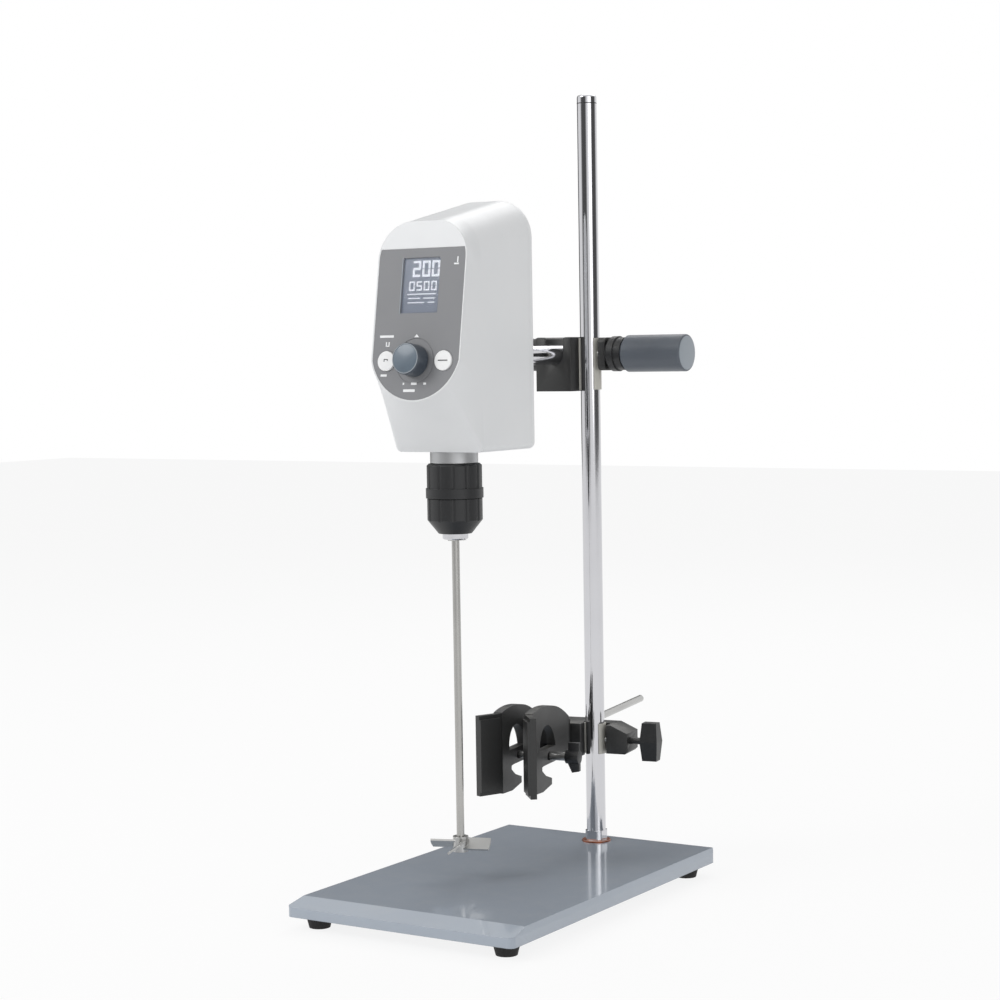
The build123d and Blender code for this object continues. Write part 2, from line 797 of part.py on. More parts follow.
# Housing: one moulded shell, open at the back, with a recess for the panel
with BuildPart() as housing_shell:
    loft(
        [
            outline_face(face_plane, 0).sketch,
            outline_upright(shaft_y - base_front, 0).sketch,
            outline_upright(shell_rear_y, 0).sketch,
        ],
        ruled=True,
    )
    loft(
        [
            outline_face(face_plane.offset(-head_wall), head_wall).sketch,
            outline_upright(shaft_y - base_front + head_wall / 2, head_wall).sketch,
            outline_upright(shell_rear_y + 1, head_wall).sketch,
        ],
        ruled=True,
        mode=Mode.SUBTRACT,
    )
    add(panel_blank(panel_rim, panel_len + seat_gap).part, mode=Mode.SUBTRACT)
    with BuildSketch(on_face(0, post_mid, panel_t + seat_gap)):
        with GridLocations(2 * board_post_x, board_post_high - board_post_low, 2, 2):
            Circle(board_post_r)
    extrude(amount=-(board_depth - panel_t - seat_gap))
    with BuildSketch(to_front(shaft_x, shell_rear_y, cover_screw_mid)):
        with GridLocations(2 * cover_screw_x, cover_screw_rise, 2, 2):
            Circle(screw_pillar_r)
    extrude(amount=screw_pillar_len)
    with BuildSketch(to_front(shaft_x, shell_rear_y, cover_screw_mid)):
        with GridLocations(2 * cover_screw_x, cover_screw_rise, 2, 2):
            Circle(cover_screw_shank_r + run_gap)
    extrude(amount=cover_screw_len, mode=Mode.SUBTRACT)
    with BuildSketch(on_face(0, window_up, panel_t - seat_gap)):
        Rectangle(module_w + 2 * seat_gap, module_h + 2 * seat_gap)
    extrude(amount=-2 * head_wall, mode=Mode.SUBTRACT)
    with BuildSketch(on_face(0, controls_up, panel_t - seat_gap)):
        with Locations((-button_side, 0), (button_side, 0)):
            Circle(button_r + loose_gap)
        Circle(encoder_bush_r + seat_gap)
    extrude(amount=-2 * head_wall, mode=Mode.SUBTRACT)
    with BuildSketch(level(shaft_x, shaft_y, base_z - 1)):
        Circle(neck_inner_r + seat_gap)
    extrude(amount=head_wall + 2, mode=Mode.SUBTRACT)
housing_shell.part.label = "housing_shell"
export_step(housing_shell.part, "parts/housing_shell.step")

# Back cover: a shallow pan with a rounded rim, openings for the arm and the mains inlet
with BuildPart() as back_cover:
    extrude(outline_upright(shell_rear_y, 0).sketch, amount=-cover_t)
    fillet(back_cover.faces().sort_by(Axis.Y)[-1].edges(), radius=cover_round)
    extrude(
        outline_upright(shell_rear_y, head_wall).sketch,
        amount=-(cover_t - cover_lip),
        mode=Mode.SUBTRACT,
    )
    with BuildSketch(to_front(shaft_x, shell_rear_y, cover_screw_mid)):
        with GridLocations(2 * cover_screw_x, cover_screw_rise, 2, 2):
            Circle(screw_pillar_r)
    extrude(amount=-(cover_t - cover_lip))
    with BuildSketch(to_front(shaft_x, head_rear_y, cover_screw_mid)):
        with GridLocations(2 * cover_screw_x, cover_screw_rise, 2, 2):
            Circle(cover_screw_shank_r + seat_gap)
    extrude(amount=cover_t, mode=Mode.SUBTRACT)
    with BuildSketch(to_front(shaft_x, head_rear_y, cover_screw_mid)):
        with GridLocations(2 * cover_screw_x, cover_screw_rise, 2, 2):
            Circle(cover_screw_r + seat_gap)
    extrude(amount=cover_screw_head_t, mode=Mode.SUBTRACT)
    with BuildSketch(to_front(arm_x, head_rear_y, arm_z)):
        Circle(arm_r + loose_gap)
    extrude(amount=cover_t, mode=Mode.SUBTRACT)
    with BuildSketch(to_front(shaft_x, head_rear_y, base_z + inlet_up)):
        Rectangle(inlet_w + 2 * seat_gap, inlet_h + 2 * seat_gap)
    extrude(amount=cover_t, mode=Mode.SUBTRACT)
back_cover.part.label = "back_cover"
export_step(back_cover.part, "parts/back_cover.step")

with BuildPart() as cover_screws:
    with BuildSketch(to_front(shaft_x, head_rear_y, cover_screw_mid)):
        with GridLocations(2 * cover_screw_x, cover_screw_rise, 2, 2):
            Circle(cover_screw_r)
    extrude(amount=cover_screw_head_t)
    with BuildSketch(to_front(shaft_x, head_rear_y - cover_screw_head_t, cover_screw_mid)):
        with GridLocations(2 * cover_screw_x, cover_screw_rise, 2, 2):
            Circle(cover_screw_shank_r)
    extrude(amount=cover_t + cover_screw_len - 2 * cover_screw_head_t)
cover_screws.part.label = "cover_screws"
export_step(cover_screws.part, "parts/cover_screws.step")

# Control panel with its window, knob and button openings and a fine ring round the knob
with BuildPart() as control_panel:
    add(panel_blank(panel_rim + seat_gap, panel_len).part)
    with BuildSketch(on_face(0, window_up)):
        RectangleRounded(window_w, window_h, window_corner_r)
    extrude(amount=-panel_t, mode=Mode.SUBTRACT)
    with BuildSketch(on_face(0, controls_up)):
        with Locations((-button_side, 0), (button_side, 0)):
            Circle(button_r + loose_gap)
        Circle(encoder_bush_r + seat_gap)
    extrude(amount=-panel_t, mode=Mode.SUBTRACT)
    with BuildSketch(on_face(0, controls_up)):
        Circle(dial_ring_r)
        Circle(dial_ring_r - dial_ring_w, mode=Mode.SUBTRACT)
    extrude(amount=-dial_ring_depth, mode=Mode.SUBTRACT)
control_panel.part.label = "control_panel"
export_step(control_panel.part, "parts/control_panel.step")

with BuildPart() as display_window:
    with BuildSketch(on_face(0, window_up, window_sink)):
        RectangleRounded(window_w - 2 * seat_gap, window_h - 2 * seat_gap, window_corner_r)
    extrude(amount=-window_t)
display_window.part.label = "display_window"
export_step(display_window.part, "parts/display_window.step")

with BuildPart() as display_module:
    with BuildSketch(on_face(0, window_up, panel_t)):
        Rectangle(module_w, module_h)
    extrude(amount=-(board_depth - panel_t))
display_module.part.label = "display_module"
export_step(display_module.part, "parts/display_module.step")

# Control board on the moulded posts, with the two button switches soldered to it
with BuildPart() as control_board:
    with BuildSketch(on_face(0, board_mid, board_depth)):
        Rectangle(board_w, board_len)
    extrude(amount=-board_t)
    with BuildSketch(on_face(0, controls_up, board_depth)):
        with Locations((-button_side, 0), (button_side, 0)):
            Rectangle(switch_side, switch_side)
    extrude(amount=switch_h)
control_board.part.label = "control_board"
export_step(control_board.part, "parts/control_board.step")

# Speed encoder: a box on the board and a bush that goes through the panel
with BuildPart() as speed_encoder:
    with BuildSketch(on_face(0, controls_up, board_depth)):
        Rectangle(encoder_side, encoder_side)
    extrude(amount=encoder_body_h)
    with BuildSketch(on_face(0, controls_up, board_depth - encoder_body_h)):
        Circle(encoder_bush_r)
    extrude(amount=board_depth - encoder_body_h + bush_proud)
    with BuildSketch(on_face(0, controls_up, board_depth - knob_shaft_stop)):
        Circle(knob_shaft_r + run_gap)
    extrude(amount=board_depth + bush_proud, mode=Mode.SUBTRACT)
speed_encoder.part.label = "speed_encoder"
export_step(speed_encoder.part, "parts/speed_encoder.step")

# Speed knob with its shaft, hollow underneath so that it turns round the bush
with BuildPart() as speed_knob:
    with BuildSketch(on_face(0, controls_up, -knob_lift)):
        Circle(knob_r)
    extrude(amount=knob_h, taper=knob_taper_deg)
    rims = speed_knob.edges().filter_by(GeomType.CIRCLE).sort_by(lambda edge: edge.radius)
    fillet(rims[0], radius=knob_round)
    with BuildSketch(on_face(0, controls_up, -knob_lift)):
        Circle(encoder_bush_r + loose_gap)
    extrude(amount=bush_proud - knob_lift + loose_gap, mode=Mode.SUBTRACT)
    with BuildSketch(on_face(0, controls_up, board_depth - knob_shaft_stop - run_gap)):
        Circle(knob_shaft_r)
    extrude(amount=board_depth - knob_shaft_stop - run_gap + knob_lift + knob_h / 2)
speed_knob.part.label = "speed_knob"
export_step(speed_knob.part, "parts/speed_knob.step")

# The two push buttons, each with a flange that keeps it in and a stem that reaches its switch
for side, name in ((-1, "left_button"), (1, "right_button")):
    with BuildPart() as push_button:
        with BuildSketch(on_face(side * button_side, controls_up, head_wall + seat_gap)):
            Circle(button_r)
        extrude(amount=head_wall + seat_gap + button_proud)
        fillet(push_button.faces().sort_by(Axis.Y)[0].edges(), radius=button_round)
        with BuildSketch(on_face(side * button_side, controls_up, head_wall + seat_gap)):
            Circle(button_flange_r)
        extrude(amount=-button_flange_t)
        with BuildSketch(on_face(side * button_side, controls_up, head_wall + seat_gap)):
            Circle(button_stem_r)
        extrude(amount=-(board_depth - switch_h - button_travel - button_rest_gap - head_wall - seat_gap))
    push_button.part.label = name
    export_step(push_button.part, f"parts/{name}.step")

# Bearing neck: a grey collar under the housing and a bearing tube inside it
neck_low = base_z - neck_down
neck_high = base_z + neck_top
low_bearing_z = neck_low + bearing_step
high_bearing_z = neck_high - bearing_t
with BuildPart() as bearing_neck:
    with BuildSketch(level(shaft_x, shaft_y, neck_low)):
        Circle(neck_r)
    extrude(amount=neck_down)
    with BuildSketch(level(shaft_x, shaft_y, base_z)):
        Circle(neck_inner_r)
    extrude(amount=neck_top)
    with BuildSketch(level(shaft_x, shaft_y, neck_low)):
        Circle(bearing_r - bearing_step)
    extrude(amount=neck_high - neck_low, mode=Mode.SUBTRACT)
    with BuildSketch(level(shaft_x, shaft_y, low_bearing_z)):
        Circle(bearing_r)
    extrude(amount=bearing_t, mode=Mode.SUBTRACT)
    with BuildSketch(level(shaft_x, shaft_y, high_bearing_z)):
        Circle(bearing_r)
    extrude(amount=bearing_t, mode=Mode.SUBTRACT)
bearing_neck.part.label = "bearing_neck"
export_step(bearing_neck.part, "parts/bearing_neck.step")

# Frame inside the head: lower plate, four posts and the bracket that holds the motor and the arm
frame_mid_y = shaft_y + (frame_post_back - frame_post_front) / 2
frame_depth = frame_post_back + frame_post_front
lower_plate_z = base_z + head_wall
motor_plate_z = base_z + motor_plate_up
with BuildPart() as head_frame:
    with BuildSketch(level(shaft_x, frame_mid_y, lower_plate_z)):
        Rectangle(2 * (frame_post_x + frame_post_r), frame_depth + 2 * frame_post_r)
    extrude(amount=lower_plate_t)
    with BuildSketch(level(shaft_x, shaft_y, lower_plate_z)):
        Circle(neck_inner_r + seat_gap)
    extrude(amount=lower_plate_t, mode=Mode.SUBTRACT)
    with BuildSketch(level(shaft_x, frame_mid_y, lower_plate_z + lower_plate_t)):
        with GridLocations(2 * frame_post_x, frame_depth, 2, 2):
            Circle(frame_post_r)
    extrude(amount=motor_plate_z - lower_plate_z - lower_plate_t)
head_frame.part.label = "head_frame"
export_step(head_frame.part, "parts/head_frame.step")

motor_floor = motor_plate_z + motor_plate_t
socket_high = arm_z + arm_r + socket_wall
with BuildPart() as motor_bracket:
    with BuildSketch(level(shaft_x, frame_mid_y, motor_plate_z)):
        Rectangle(2 * (frame_post_x + frame_post_r), frame_depth + 2 * frame_post_r)
    extrude(amount=motor_plate_t)
    with BuildSketch(level(arm_x, cover_inner_y - socket_len / 2 - seat_gap, motor_plate_z)):
        Rectangle(socket_w, socket_len)
    extrude(amount=socket_high - motor_plate_z)
    with BuildSketch(to_front(arm_x, cover_inner_y, arm_z)):
        Circle(arm_r + run_gap)
    extrude(amount=socket_len - socket_wall, mode=Mode.SUBTRACT)
    with BuildSketch(level(shaft_x, shaft_y, motor_plate_z)):
        Circle(coupling_r + 2 * loose_gap)
    extrude(amount=motor_plate_t, mode=Mode.SUBTRACT)
motor_bracket.part.label = "motor_bracket"
export_step(motor_bracket.part, "parts/motor_bracket.step")

# Motor: can and end cap in one node, stator, and a rotor with its shaft
motor_high = motor_floor + motor_len
with BuildPart() as motor_can:
    with BuildSketch(level(shaft_x, shaft_y, motor_floor)):
        Circle(motor_r)
    extrude(amount=motor_len)
    with BuildSketch(level(shaft_x, shaft_y, motor_floor + motor_cap_t)):
        Circle(motor_r - motor_wall)
    extrude(amount=motor_len, mode=Mode.SUBTRACT)
    with BuildSketch(level(shaft_x, shaft_y, motor_floor)):
        Circle(motor_bearing_r)
    extrude(amount=motor_cap_t, mode=Mode.SUBTRACT)
    with BuildSketch(level(shaft_x, shaft_y, motor_high - motor_cap_t)):
        Circle(motor_r - motor_wall - run_gap)
        Circle(motor_bearing_r, mode=Mode.SUBTRACT)
    extrude(amount=motor_cap_t)
motor_can.part.label = "motor_can"
export_step(motor_can.part, "parts/motor_can.step")

core_low = (motor_floor + motor_high - core_len) / 2
with BuildPart() as motor_stator:
    with BuildSketch(level(shaft_x, shaft_y, core_low)):
        Circle(motor_r - motor_wall)
        Circle(rotor_core_r + rotor_gap, mode=Mode.SUBTRACT)
    extrude(amount=core_len)
motor_stator.part.label = "motor_stator"
export_step(motor_stator.part, "parts/motor_stator.step")

coupling_low = base_z + spindle_top - coupling_hub_h + seat_gap
upper_hub_z = coupling_low + coupling_hub_h + spider_t + 2 * seat_gap
with BuildPart() as motor_rotor:
    with BuildSketch(level(shaft_x, shaft_y, core_low)):
        Circle(rotor_core_r)
    extrude(amount=core_len)
    with BuildSketch(level(shaft_x, shaft_y, upper_hub_z + seat_gap)):
        Circle(rotor_shaft_r)
    extrude(amount=motor_high - upper_hub_z - seat_gap)
motor_rotor.part.label = "motor_rotor"
export_step(motor_rotor.part, "parts/motor_rotor.step")

# Four ball bearings, drawn as plain rings: two on the spindle and two on the rotor's shaft
with BuildPart() as ball_bearings:
    for bearing_z in (low_bearing_z, high_bearing_z):
        with BuildSketch(level(shaft_x, shaft_y, bearing_z)):
            Circle(bearing_r)
            Circle(spindle_r + run_gap, mode=Mode.SUBTRACT)
        extrude(amount=bearing_t)
    for bearing_z in (motor_floor, motor_high - motor_cap_t):
        with BuildSketch(level(shaft_x, shaft_y, bearing_z)):
            Circle(motor_bearing_r)
            Circle(rotor_shaft_r + run_gap, mode=Mode.SUBTRACT)
        extrude(amount=motor_cap_t)
ball_bearings.part.label = "ball_bearings"
export_step(ball_bearings.part, "parts/ball_bearings.step")

# Spindle, hollow so that the stirring shaft can pass up into it
chuck_top = neck_low - chuck_gap
chuck_low = chuck_top - chuck_len
spindle_low = chuck_top - spindle_bite
with BuildPart() as spindle:
    with BuildSketch(level(shaft_x, shaft_y, spindle_low)):
        Circle(spindle_r)
        Circle(spindle_bore_r, mode=Mode.SUBTRACT)
    extrude(amount=base_z + spindle_top - spindle_low)
spindle.part.label = "spindle"
export_step(spindle.part, "parts/spindle.step")

# Coupling between rotor and spindle: two hubs and an elastic ring between them
with BuildPart() as shaft_coupling:
    with BuildSketch(level(shaft_x, shaft_y, coupling_low)):
        Circle(coupling_r)
        Circle(spindle_r, mode=Mode.SUBTRACT)
    extrude(amount=coupling_hub_h)
    with BuildSketch(level(shaft_x, shaft_y, coupling_low + coupling_hub_h + seat_gap)):
        Circle(coupling_r)
        Circle(rotor_shaft_r, mode=Mode.SUBTRACT)
    extrude(amount=spider_t)
    with BuildSketch(level(shaft_x, shaft_y, upper_hub_z)):
        Circle(coupling_r)
        Circle(rotor_shaft_r, mode=Mode.SUBTRACT)
    extrude(amount=coupling_hub_h)
shaft_coupling.part.label = "shaft_coupling"
export_step(shaft_coupling.part, "parts/shaft_coupling.step")

# Mains inlet module: a bezel, a socket cavity with three blades and a well for the rocker
inlet_z = base_z + inlet_up
cavity_z = inlet_z - socket_drop
rocker_z = inlet_z + rocker_up
bezel_y = head_rear_y + inlet_bezel_t
with BuildPart() as power_inlet:
    with BuildSketch(to_front(shaft_x, bezel_y, inlet_z)):
        RectangleRounded(inlet_w + 2 * inlet_bezel, inlet_h + 2 * inlet_bezel, inlet_bezel)
    extrude(amount=inlet_bezel_t)
    with BuildSketch(to_front(shaft_x, head_rear_y, inlet_z)):
        Rectangle(inlet_w, inlet_h)
    extrude(amount=inlet_depth)
    with BuildSketch(to_front(shaft_x, bezel_y, cavity_z)):
        RectangleRounded(socket_cut_w, socket_cut_h, inlet_bezel)
    extrude(amount=socket_cut_depth, mode=Mode.SUBTRACT)
    with BuildSketch(to_front(shaft_x, bezel_y, rocker_z)):
        Rectangle(rocker_w + 2 * loose_gap, 2 * (rocker_r + loose_gap))
    extrude(amount=rocker_well, mode=Mode.SUBTRACT)
    blade_floor = bezel_y - socket_cut_depth
    with BuildSketch(to_front(shaft_x, blade_floor + pin_len + seat_gap, cavity_z)):
        with Locations((-pin_pitch, -pin_step / 2), (0, pin_step / 2), (pin_pitch, -pin_step / 2)):
            Rectangle(pin_w, pin_h)
    extrude(amount=pin_len)
power_inlet.part.label = "power_inlet"
export_step(power_inlet.part, "parts/power_inlet.step")

# Rocker of the mains switch: round ends about its pivot and a shallow valley in its face
swing = math.radians(rocker_swing_deg)
rocker_plane = Plane(
    origin=(shaft_x - rocker_w / 2, bezel_y - rocker_pivot_in, rocker_z),
    x_dir=(0, math.cos(swing), math.sin(swing)),
    z_dir=(1, 0, 0),
)
with BuildPart() as rocker_key:
    with BuildSketch(rocker_plane):
        Circle(rocker_r)
        with BuildLine():
            Polyline(
                (rocker_pivot_in - rocker_well / 2, -rocker_r),
                (rocker_pivot_in - rocker_well / 2, rocker_r),
                (rocker_pivot_in + rocker_proud, rocker_r),
                (rocker_pivot_in + rocker_valley, 0),
                (rocker_pivot_in + rocker_proud, -rocker_r),
                close=True,
            )
        make_face(mode=Mode.INTERSECT)
    extrude(amount=rocker_w)
rocker_key.part.label = "rocker_key"
export_step(rocker_key.part, "parts/rocker_key.step")

# Chuck body with the slanted holes that guide the jaws
body_low_z = chuck_low + chuck_nose_len
jaw_lean = math.radians(jaw_lean_deg)


def jaw_axis(index, start):
    """A plane across a jaw's slanted axis, start along it from the nose, facing up and outwards."""
    turn = 2 * math.pi * index / jaw_count - math.pi / 2
    out = Vector(math.cos(turn), math.sin(turn), 0)
    along = out * math.sin(jaw_lean) + Vector(0, 0, math.cos(jaw_lean))
    nose = Vector(shaft_x, shaft_y, chuck_low) + out * jaw_axis_at_nose
    return Plane(origin=nose + along * start, x_dir=out.cross(Vector(0, 0, 1)), z_dir=along)


with BuildPart() as chuck_body:
    with BuildSketch(level(shaft_x, shaft_y, chuck_low)):
        Circle(chuck_nose_r)
    extrude(amount=chuck_nose_len)
    with BuildSketch(level(shaft_x, shaft_y, body_low_z)):
        Circle(chuck_body_r)
    extrude(amount=chuck_len - chuck_nose_len)
    chamfer(chuck_body.edges().group_by(Axis.Z)[0], length=chuck_nose_chamfer)
    with BuildSketch(level(shaft_x, shaft_y, chuck_low)):
        Circle(chuck_bore_r)
    extrude(amount=spindle_low - chuck_low, mode=Mode.SUBTRACT)
    with BuildSketch(level(shaft_x, shaft_y, spindle_low)):
        Circle(spindle_r)
    extrude(amount=spindle_bite, mode=Mode.SUBTRACT)
    for index in range(jaw_count):
        with BuildSketch(jaw_axis(index, -2 * jaw_r)):
            Circle(jaw_r + run_gap)
        extrude(amount=2 * jaw_r + jaw_len + jaw_travel + jaw_end_room, mode=Mode.SUBTRACT)
chuck_body.part.label = "chuck_body"
export_step(chuck_body.part, "parts/chuck_body.step")

# Three jaws, each hollowed to the stirring shaft
for index in range(jaw_count):
    with BuildPart() as chuck_jaw:
        with BuildSketch(jaw_axis(index, -2 * jaw_r)):
            Circle(jaw_r)
        extrude(amount=2 * jaw_r + jaw_len)
        with BuildSketch(level(shaft_x, shaft_y, chuck_low - jaw_proud)):
            Circle(chuck_r)
        extrude(amount=chuck_len, mode=Mode.INTERSECT)
        with BuildSketch(level(shaft_x, shaft_y, chuck_low - 2 * jaw_r)):
            Circle(shaft_r + run_gap)
        extrude(amount=chuck_len, mode=Mode.SUBTRACT)
    chuck_jaw.part.label = f"chuck_jaw_{index + 1}"
    export_step(chuck_jaw.part, f"parts/chuck_jaw_{index + 1}.step")

# Black sleeves: the rear one stays on the body and the front one turns to move the jaws
split_z = chuck_top - rear_sleeve_len
with BuildPart() as chuck_rear_sleeve:
    with BuildSketch(level(shaft_x, shaft_y, split_z)):
        Circle(chuck_r)
    extrude(amount=rear_sleeve_len)
    chamfer(chuck_rear_sleeve.edges().group_by(Axis.Z)[-1], length=chuck_chamfer)
    with BuildSketch(level(shaft_x, shaft_y, split_z + chuck_band_h)):
        with PolarLocations(chuck_r + flute_r - flute_depth, flute_count):
            Circle(flute_r)
    extrude(amount=rear_sleeve_len, mode=Mode.SUBTRACT)
    with BuildSketch(level(shaft_x, shaft_y, split_z)):
        Circle(chuck_band_r)
    extrude(amount=chuck_band_h)
    with BuildSketch(level(shaft_x, shaft_y, split_z)):
        Circle(chuck_body_r)
    extrude(amount=rear_sleeve_len, mode=Mode.SUBTRACT)
chuck_rear_sleeve.part.label = "chuck_rear_sleeve"
export_step(chuck_rear_sleeve.part, "parts/chuck_rear_sleeve.step")

nut_floor = chuck_low + jaw_nut_up
sleeve_top = split_z - chuck_split_gap
with BuildPart() as chuck_front_sleeve:
    with BuildSketch(Plane(origin=(shaft_x, shaft_y, 0), x_dir=(1, 0, 0), z_dir=(0, -1, 0))):
        with BuildLine():
            Polyline(
                (chuck_body_r + loose_gap, body_low_z),
                (chuck_taper_r + loose_gap, body_low_z),
                (chuck_r, body_low_z + chuck_taper_h),
                (chuck_r, sleeve_top),
                (chuck_r - sleeve_wall, sleeve_top),
                (chuck_r - sleeve_wall, nut_floor),
                (chuck_body_r + loose_gap, nut_floor),
                close=True,
            )
        make_face()
    revolve(axis=Axis((shaft_x, shaft_y, 0), (0, 0, 1)))
    with BuildSketch(level(shaft_x, shaft_y, body_low_z)):
        with PolarLocations(chuck_r + flute_r - flute_depth, flute_count):
            Circle(flute_r)
    extrude(amount=chuck_len, mode=Mode.SUBTRACT)
chuck_front_sleeve.part.label = "chuck_front_sleeve"
export_step(chuck_front_sleeve.part, "parts/chuck_front_sleeve.step")

with BuildPart() as jaw_nut:
    with BuildSketch(level(shaft_x, shaft_y, nut_floor)):
        Circle(chuck_r - sleeve_wall)
        Circle(jaw_nut_bore_r, mode=Mode.SUBTRACT)
    extrude(amount=jaw_nut_h)
jaw_nut.part.label = "jaw_nut"
export_step(jaw_nut.part, "parts/jaw_nut.step")

# Stirring shaft and propeller
propeller_z = plate_top + propeller_clear
with BuildPart() as stirring_shaft:
    with BuildSketch(level(shaft_x, shaft_y, propeller_z)):
        Circle(shaft_r)
    extrude(amount=chuck_low + shaft_into_chuck - propeller_z)
stirring_shaft.part.label = "stirring_shaft"
export_step(stirring_shaft.part, "parts/stirring_shaft.step")

pitch = math.radians(blade_pitch_deg)
with BuildPart() as propeller:
    for index in range(blade_count):
        turn = 2 * math.pi * index / blade_count + math.radians(blade_turn_deg)
        out = Vector(math.cos(turn), math.sin(turn), 0)
        across = Vector(-math.sin(turn), math.cos(turn), 0)
        chord = across * math.cos(pitch) + Vector(0, 0, math.sin(pitch))
        hub_middle = Vector(shaft_x, shaft_y, propeller_z + hub_h / 2)
        with BuildSketch(Plane(origin=hub_middle + out * shaft_r, x_dir=chord, z_dir=out)):
            Rectangle(blade_w, blade_t)
        extrude(amount=blade_reach)
    with BuildSketch(level(shaft_x, shaft_y, propeller_z)):
        Circle(blade_reach)
    extrude(amount=hub_h, mode=Mode.INTERSECT)
    with BuildSketch(level(shaft_x, shaft_y, propeller_z)):
        Circle(hub_r)
    extrude(amount=hub_h)
    with BuildSketch(level(shaft_x, shaft_y, propeller_z)):
        Circle(shaft_r)
    extrude(amount=hub_h, mode=Mode.SUBTRACT)
propeller.part.label = "propeller"
export_step(propeller.part, "parts/propeller.step")

# Vessel clamp: a liner on the rod and a casting that holds the rod and the clamp's own arm
rod_ahead = clamp_side * math.sin(clamp_yaw)
rod_aside = clamp_side * math.cos(clamp_yaw)
cboss_web_end = rod_aside - seat_r + lip_reach
vessel_liner = open_liner(cboss_low + 1, cboss_high - 1)
vessel_liner.part.label = "vessel_liner"
export_step(vessel_liner.part, "parts/vessel_liner.step")

with BuildPart() as vessel_boss:
    with BuildSketch(clamp_ahead(-cboss_back, 0, 0)):
        with BuildLine():
            Polyline(
                (-cboss_side, cboss_low),
                (cboss_web_end, cboss_low),
                (cboss_web_end, cboss_high),
                (-cboss_side, cboss_high),
                close=True,
            )
        make_face()
    extrude(amount=cboss_back + cboss_front)
    fillet(vessel_boss.edges().filter_by(Axis.Z), radius=cboss_round)
    with BuildSketch(clamp_ahead(-cboss_back, rod_aside, 0)):
        with BuildLine():
            Polyline(
                (hub_start, hub_low),
                (hub_end - hub_low_bevel, hub_low),
                (hub_end, hub_end_low),
                (hub_end, hub_end_high),
                (hub_start + hub_high_bevel, hub_high),
                (hub_start, hub_high),
                close=True,
            )
        make_face()
    extrude(amount=cboss_back + rod_ahead + hub_front)
    with BuildSketch(clamp_ahead(-cboss_back, rod_aside, 0)):
        with BuildLine():
            Polyline(
                (-seat_r, hub_low),
                (hub_start, hub_low),
                (hub_start, hub_high),
                (-seat_r, hub_high),
                close=True,
            )
        make_face()
    extrude(amount=cboss_back + rod_ahead - liner_r / 2)
    with BuildSketch(level(0, rod_y, cboss_low - 1)):
        Circle(seat_r)
    extrude(amount=cboss_high - cboss_low + 2, mode=Mode.SUBTRACT)
    with BuildSketch(clamp_across(rod_ahead, rod_aside + hub_start - 1, bar_z)):
        Circle(bar_screw_r + run_gap)
    extrude(amount=hub_end, mode=Mode.SUBTRACT)
    with BuildSketch(clamp_away(0, 0, clamp_z)):
        Circle(bar_screw_r + run_gap)
    extrude(amount=cboss_side + 1, mode=Mode.SUBTRACT)
    with BuildSketch(clamp_ahead(-cboss_back - 1, 0, clamp_z)):
        Circle(clamp_rod_r + run_gap)
    extrude(amount=cboss_back + cboss_front + 2, mode=Mode.SUBTRACT)
vessel_boss.part.label = "vessel_boss"
export_step(vessel_boss.part, "parts/vessel_boss.step")


def bar_screw(plane, shank_start, knob_start):
    """A screw with a faceted bar knob moulded on it; distances run along the plane's normal."""
    side_plane = Plane(origin=plane.origin, x_dir=plane.z_dir, z_dir=plane.x_dir * -1)
    with BuildPart() as screw:
        with BuildSketch(plane.offset(knob_start)):
            with BuildLine():
                Polyline(
                    (bar_mid_w / 2, 0),
                    (bar_end_w / 2, bar_half),
                    (-bar_end_w / 2, bar_half),
                    (-bar_mid_w / 2, 0),
                    (-bar_end_w / 2, -bar_half),
                    (bar_end_w / 2, -bar_half),
                    close=True,
                )
            make_face()
        extrude(amount=bar_t)
        with BuildSketch(side_plane):
            with BuildLine():
                Polyline(
                    (knob_start, 0),
                    (knob_start + bar_end_inset, bar_half),
                    (knob_start + bar_t - bar_end_inset, bar_half),
                    (knob_start + bar_t, 0),
                    (knob_start + bar_t - bar_end_inset, -bar_half),
                    (knob_start + bar_end_inset, -bar_half),
                    close=True,
                )
            make_face()
        extrude(amount=bar_mid_w, both=True, mode=Mode.INTERSECT)
        with BuildSketch(plane.offset(shank_start)):
            Circle(bar_screw_r)
        extrude(amount=knob_start + bar_t / 2 - shank_start)
    return screw


rod_bar_axis = clamp_across(rod_ahead, rod_aside, bar_z)
vessel_rod_pad = clamp_pad(rod_bar_axis, liner_r + run_gap, bar_pad_r)
vessel_rod_pad.part.label = "vessel_rod_pad"
export_step(vessel_rod_pad.part, "parts/vessel_rod_pad.step")
vessel_rod_screw = bar_screw(rod_bar_axis, liner_r + pad_t + 2 * run_gap, hub_end + bar_screw_out)
vessel_rod_screw.part.label = "vessel_rod_screw"
export_step(vessel_rod_screw.part, "parts/vessel_rod_screw.step")

arm_bar_axis = clamp_away(0, 0, clamp_z)
vessel_arm_pad = clamp_pad(arm_bar_axis, clamp_rod_r + run_gap, bar_pad_r)
vessel_arm_pad.part.label = "vessel_arm_pad"
export_step(vessel_arm_pad.part, "parts/vessel_arm_pad.step")
vessel_arm_screw = bar_screw(arm_bar_axis, clamp_rod_r + pad_t + 2 * run_gap, cboss_side + bar_screw_out)
vessel_arm_screw.part.label = "vessel_arm_screw"
export_step(vessel_arm_screw.part, "parts/vessel_arm_screw.step")

with BuildPart() as vessel_arm:
    with BuildSketch(clamp_ahead(-clamp_tail, 0, clamp_z)):
        Circle(clamp_rod_r)
    extrude(amount=clamp_tail + body_start + arm_bite)
    chamfer(vessel_arm.edges().filter_by(GeomType.CIRCLE).sort_by(Axis.Y)[-1], length=clamp_rod_bevel)
vessel_arm.part.label = "vessel_arm"
export_step(vessel_arm.part, "parts/vessel_arm.step")

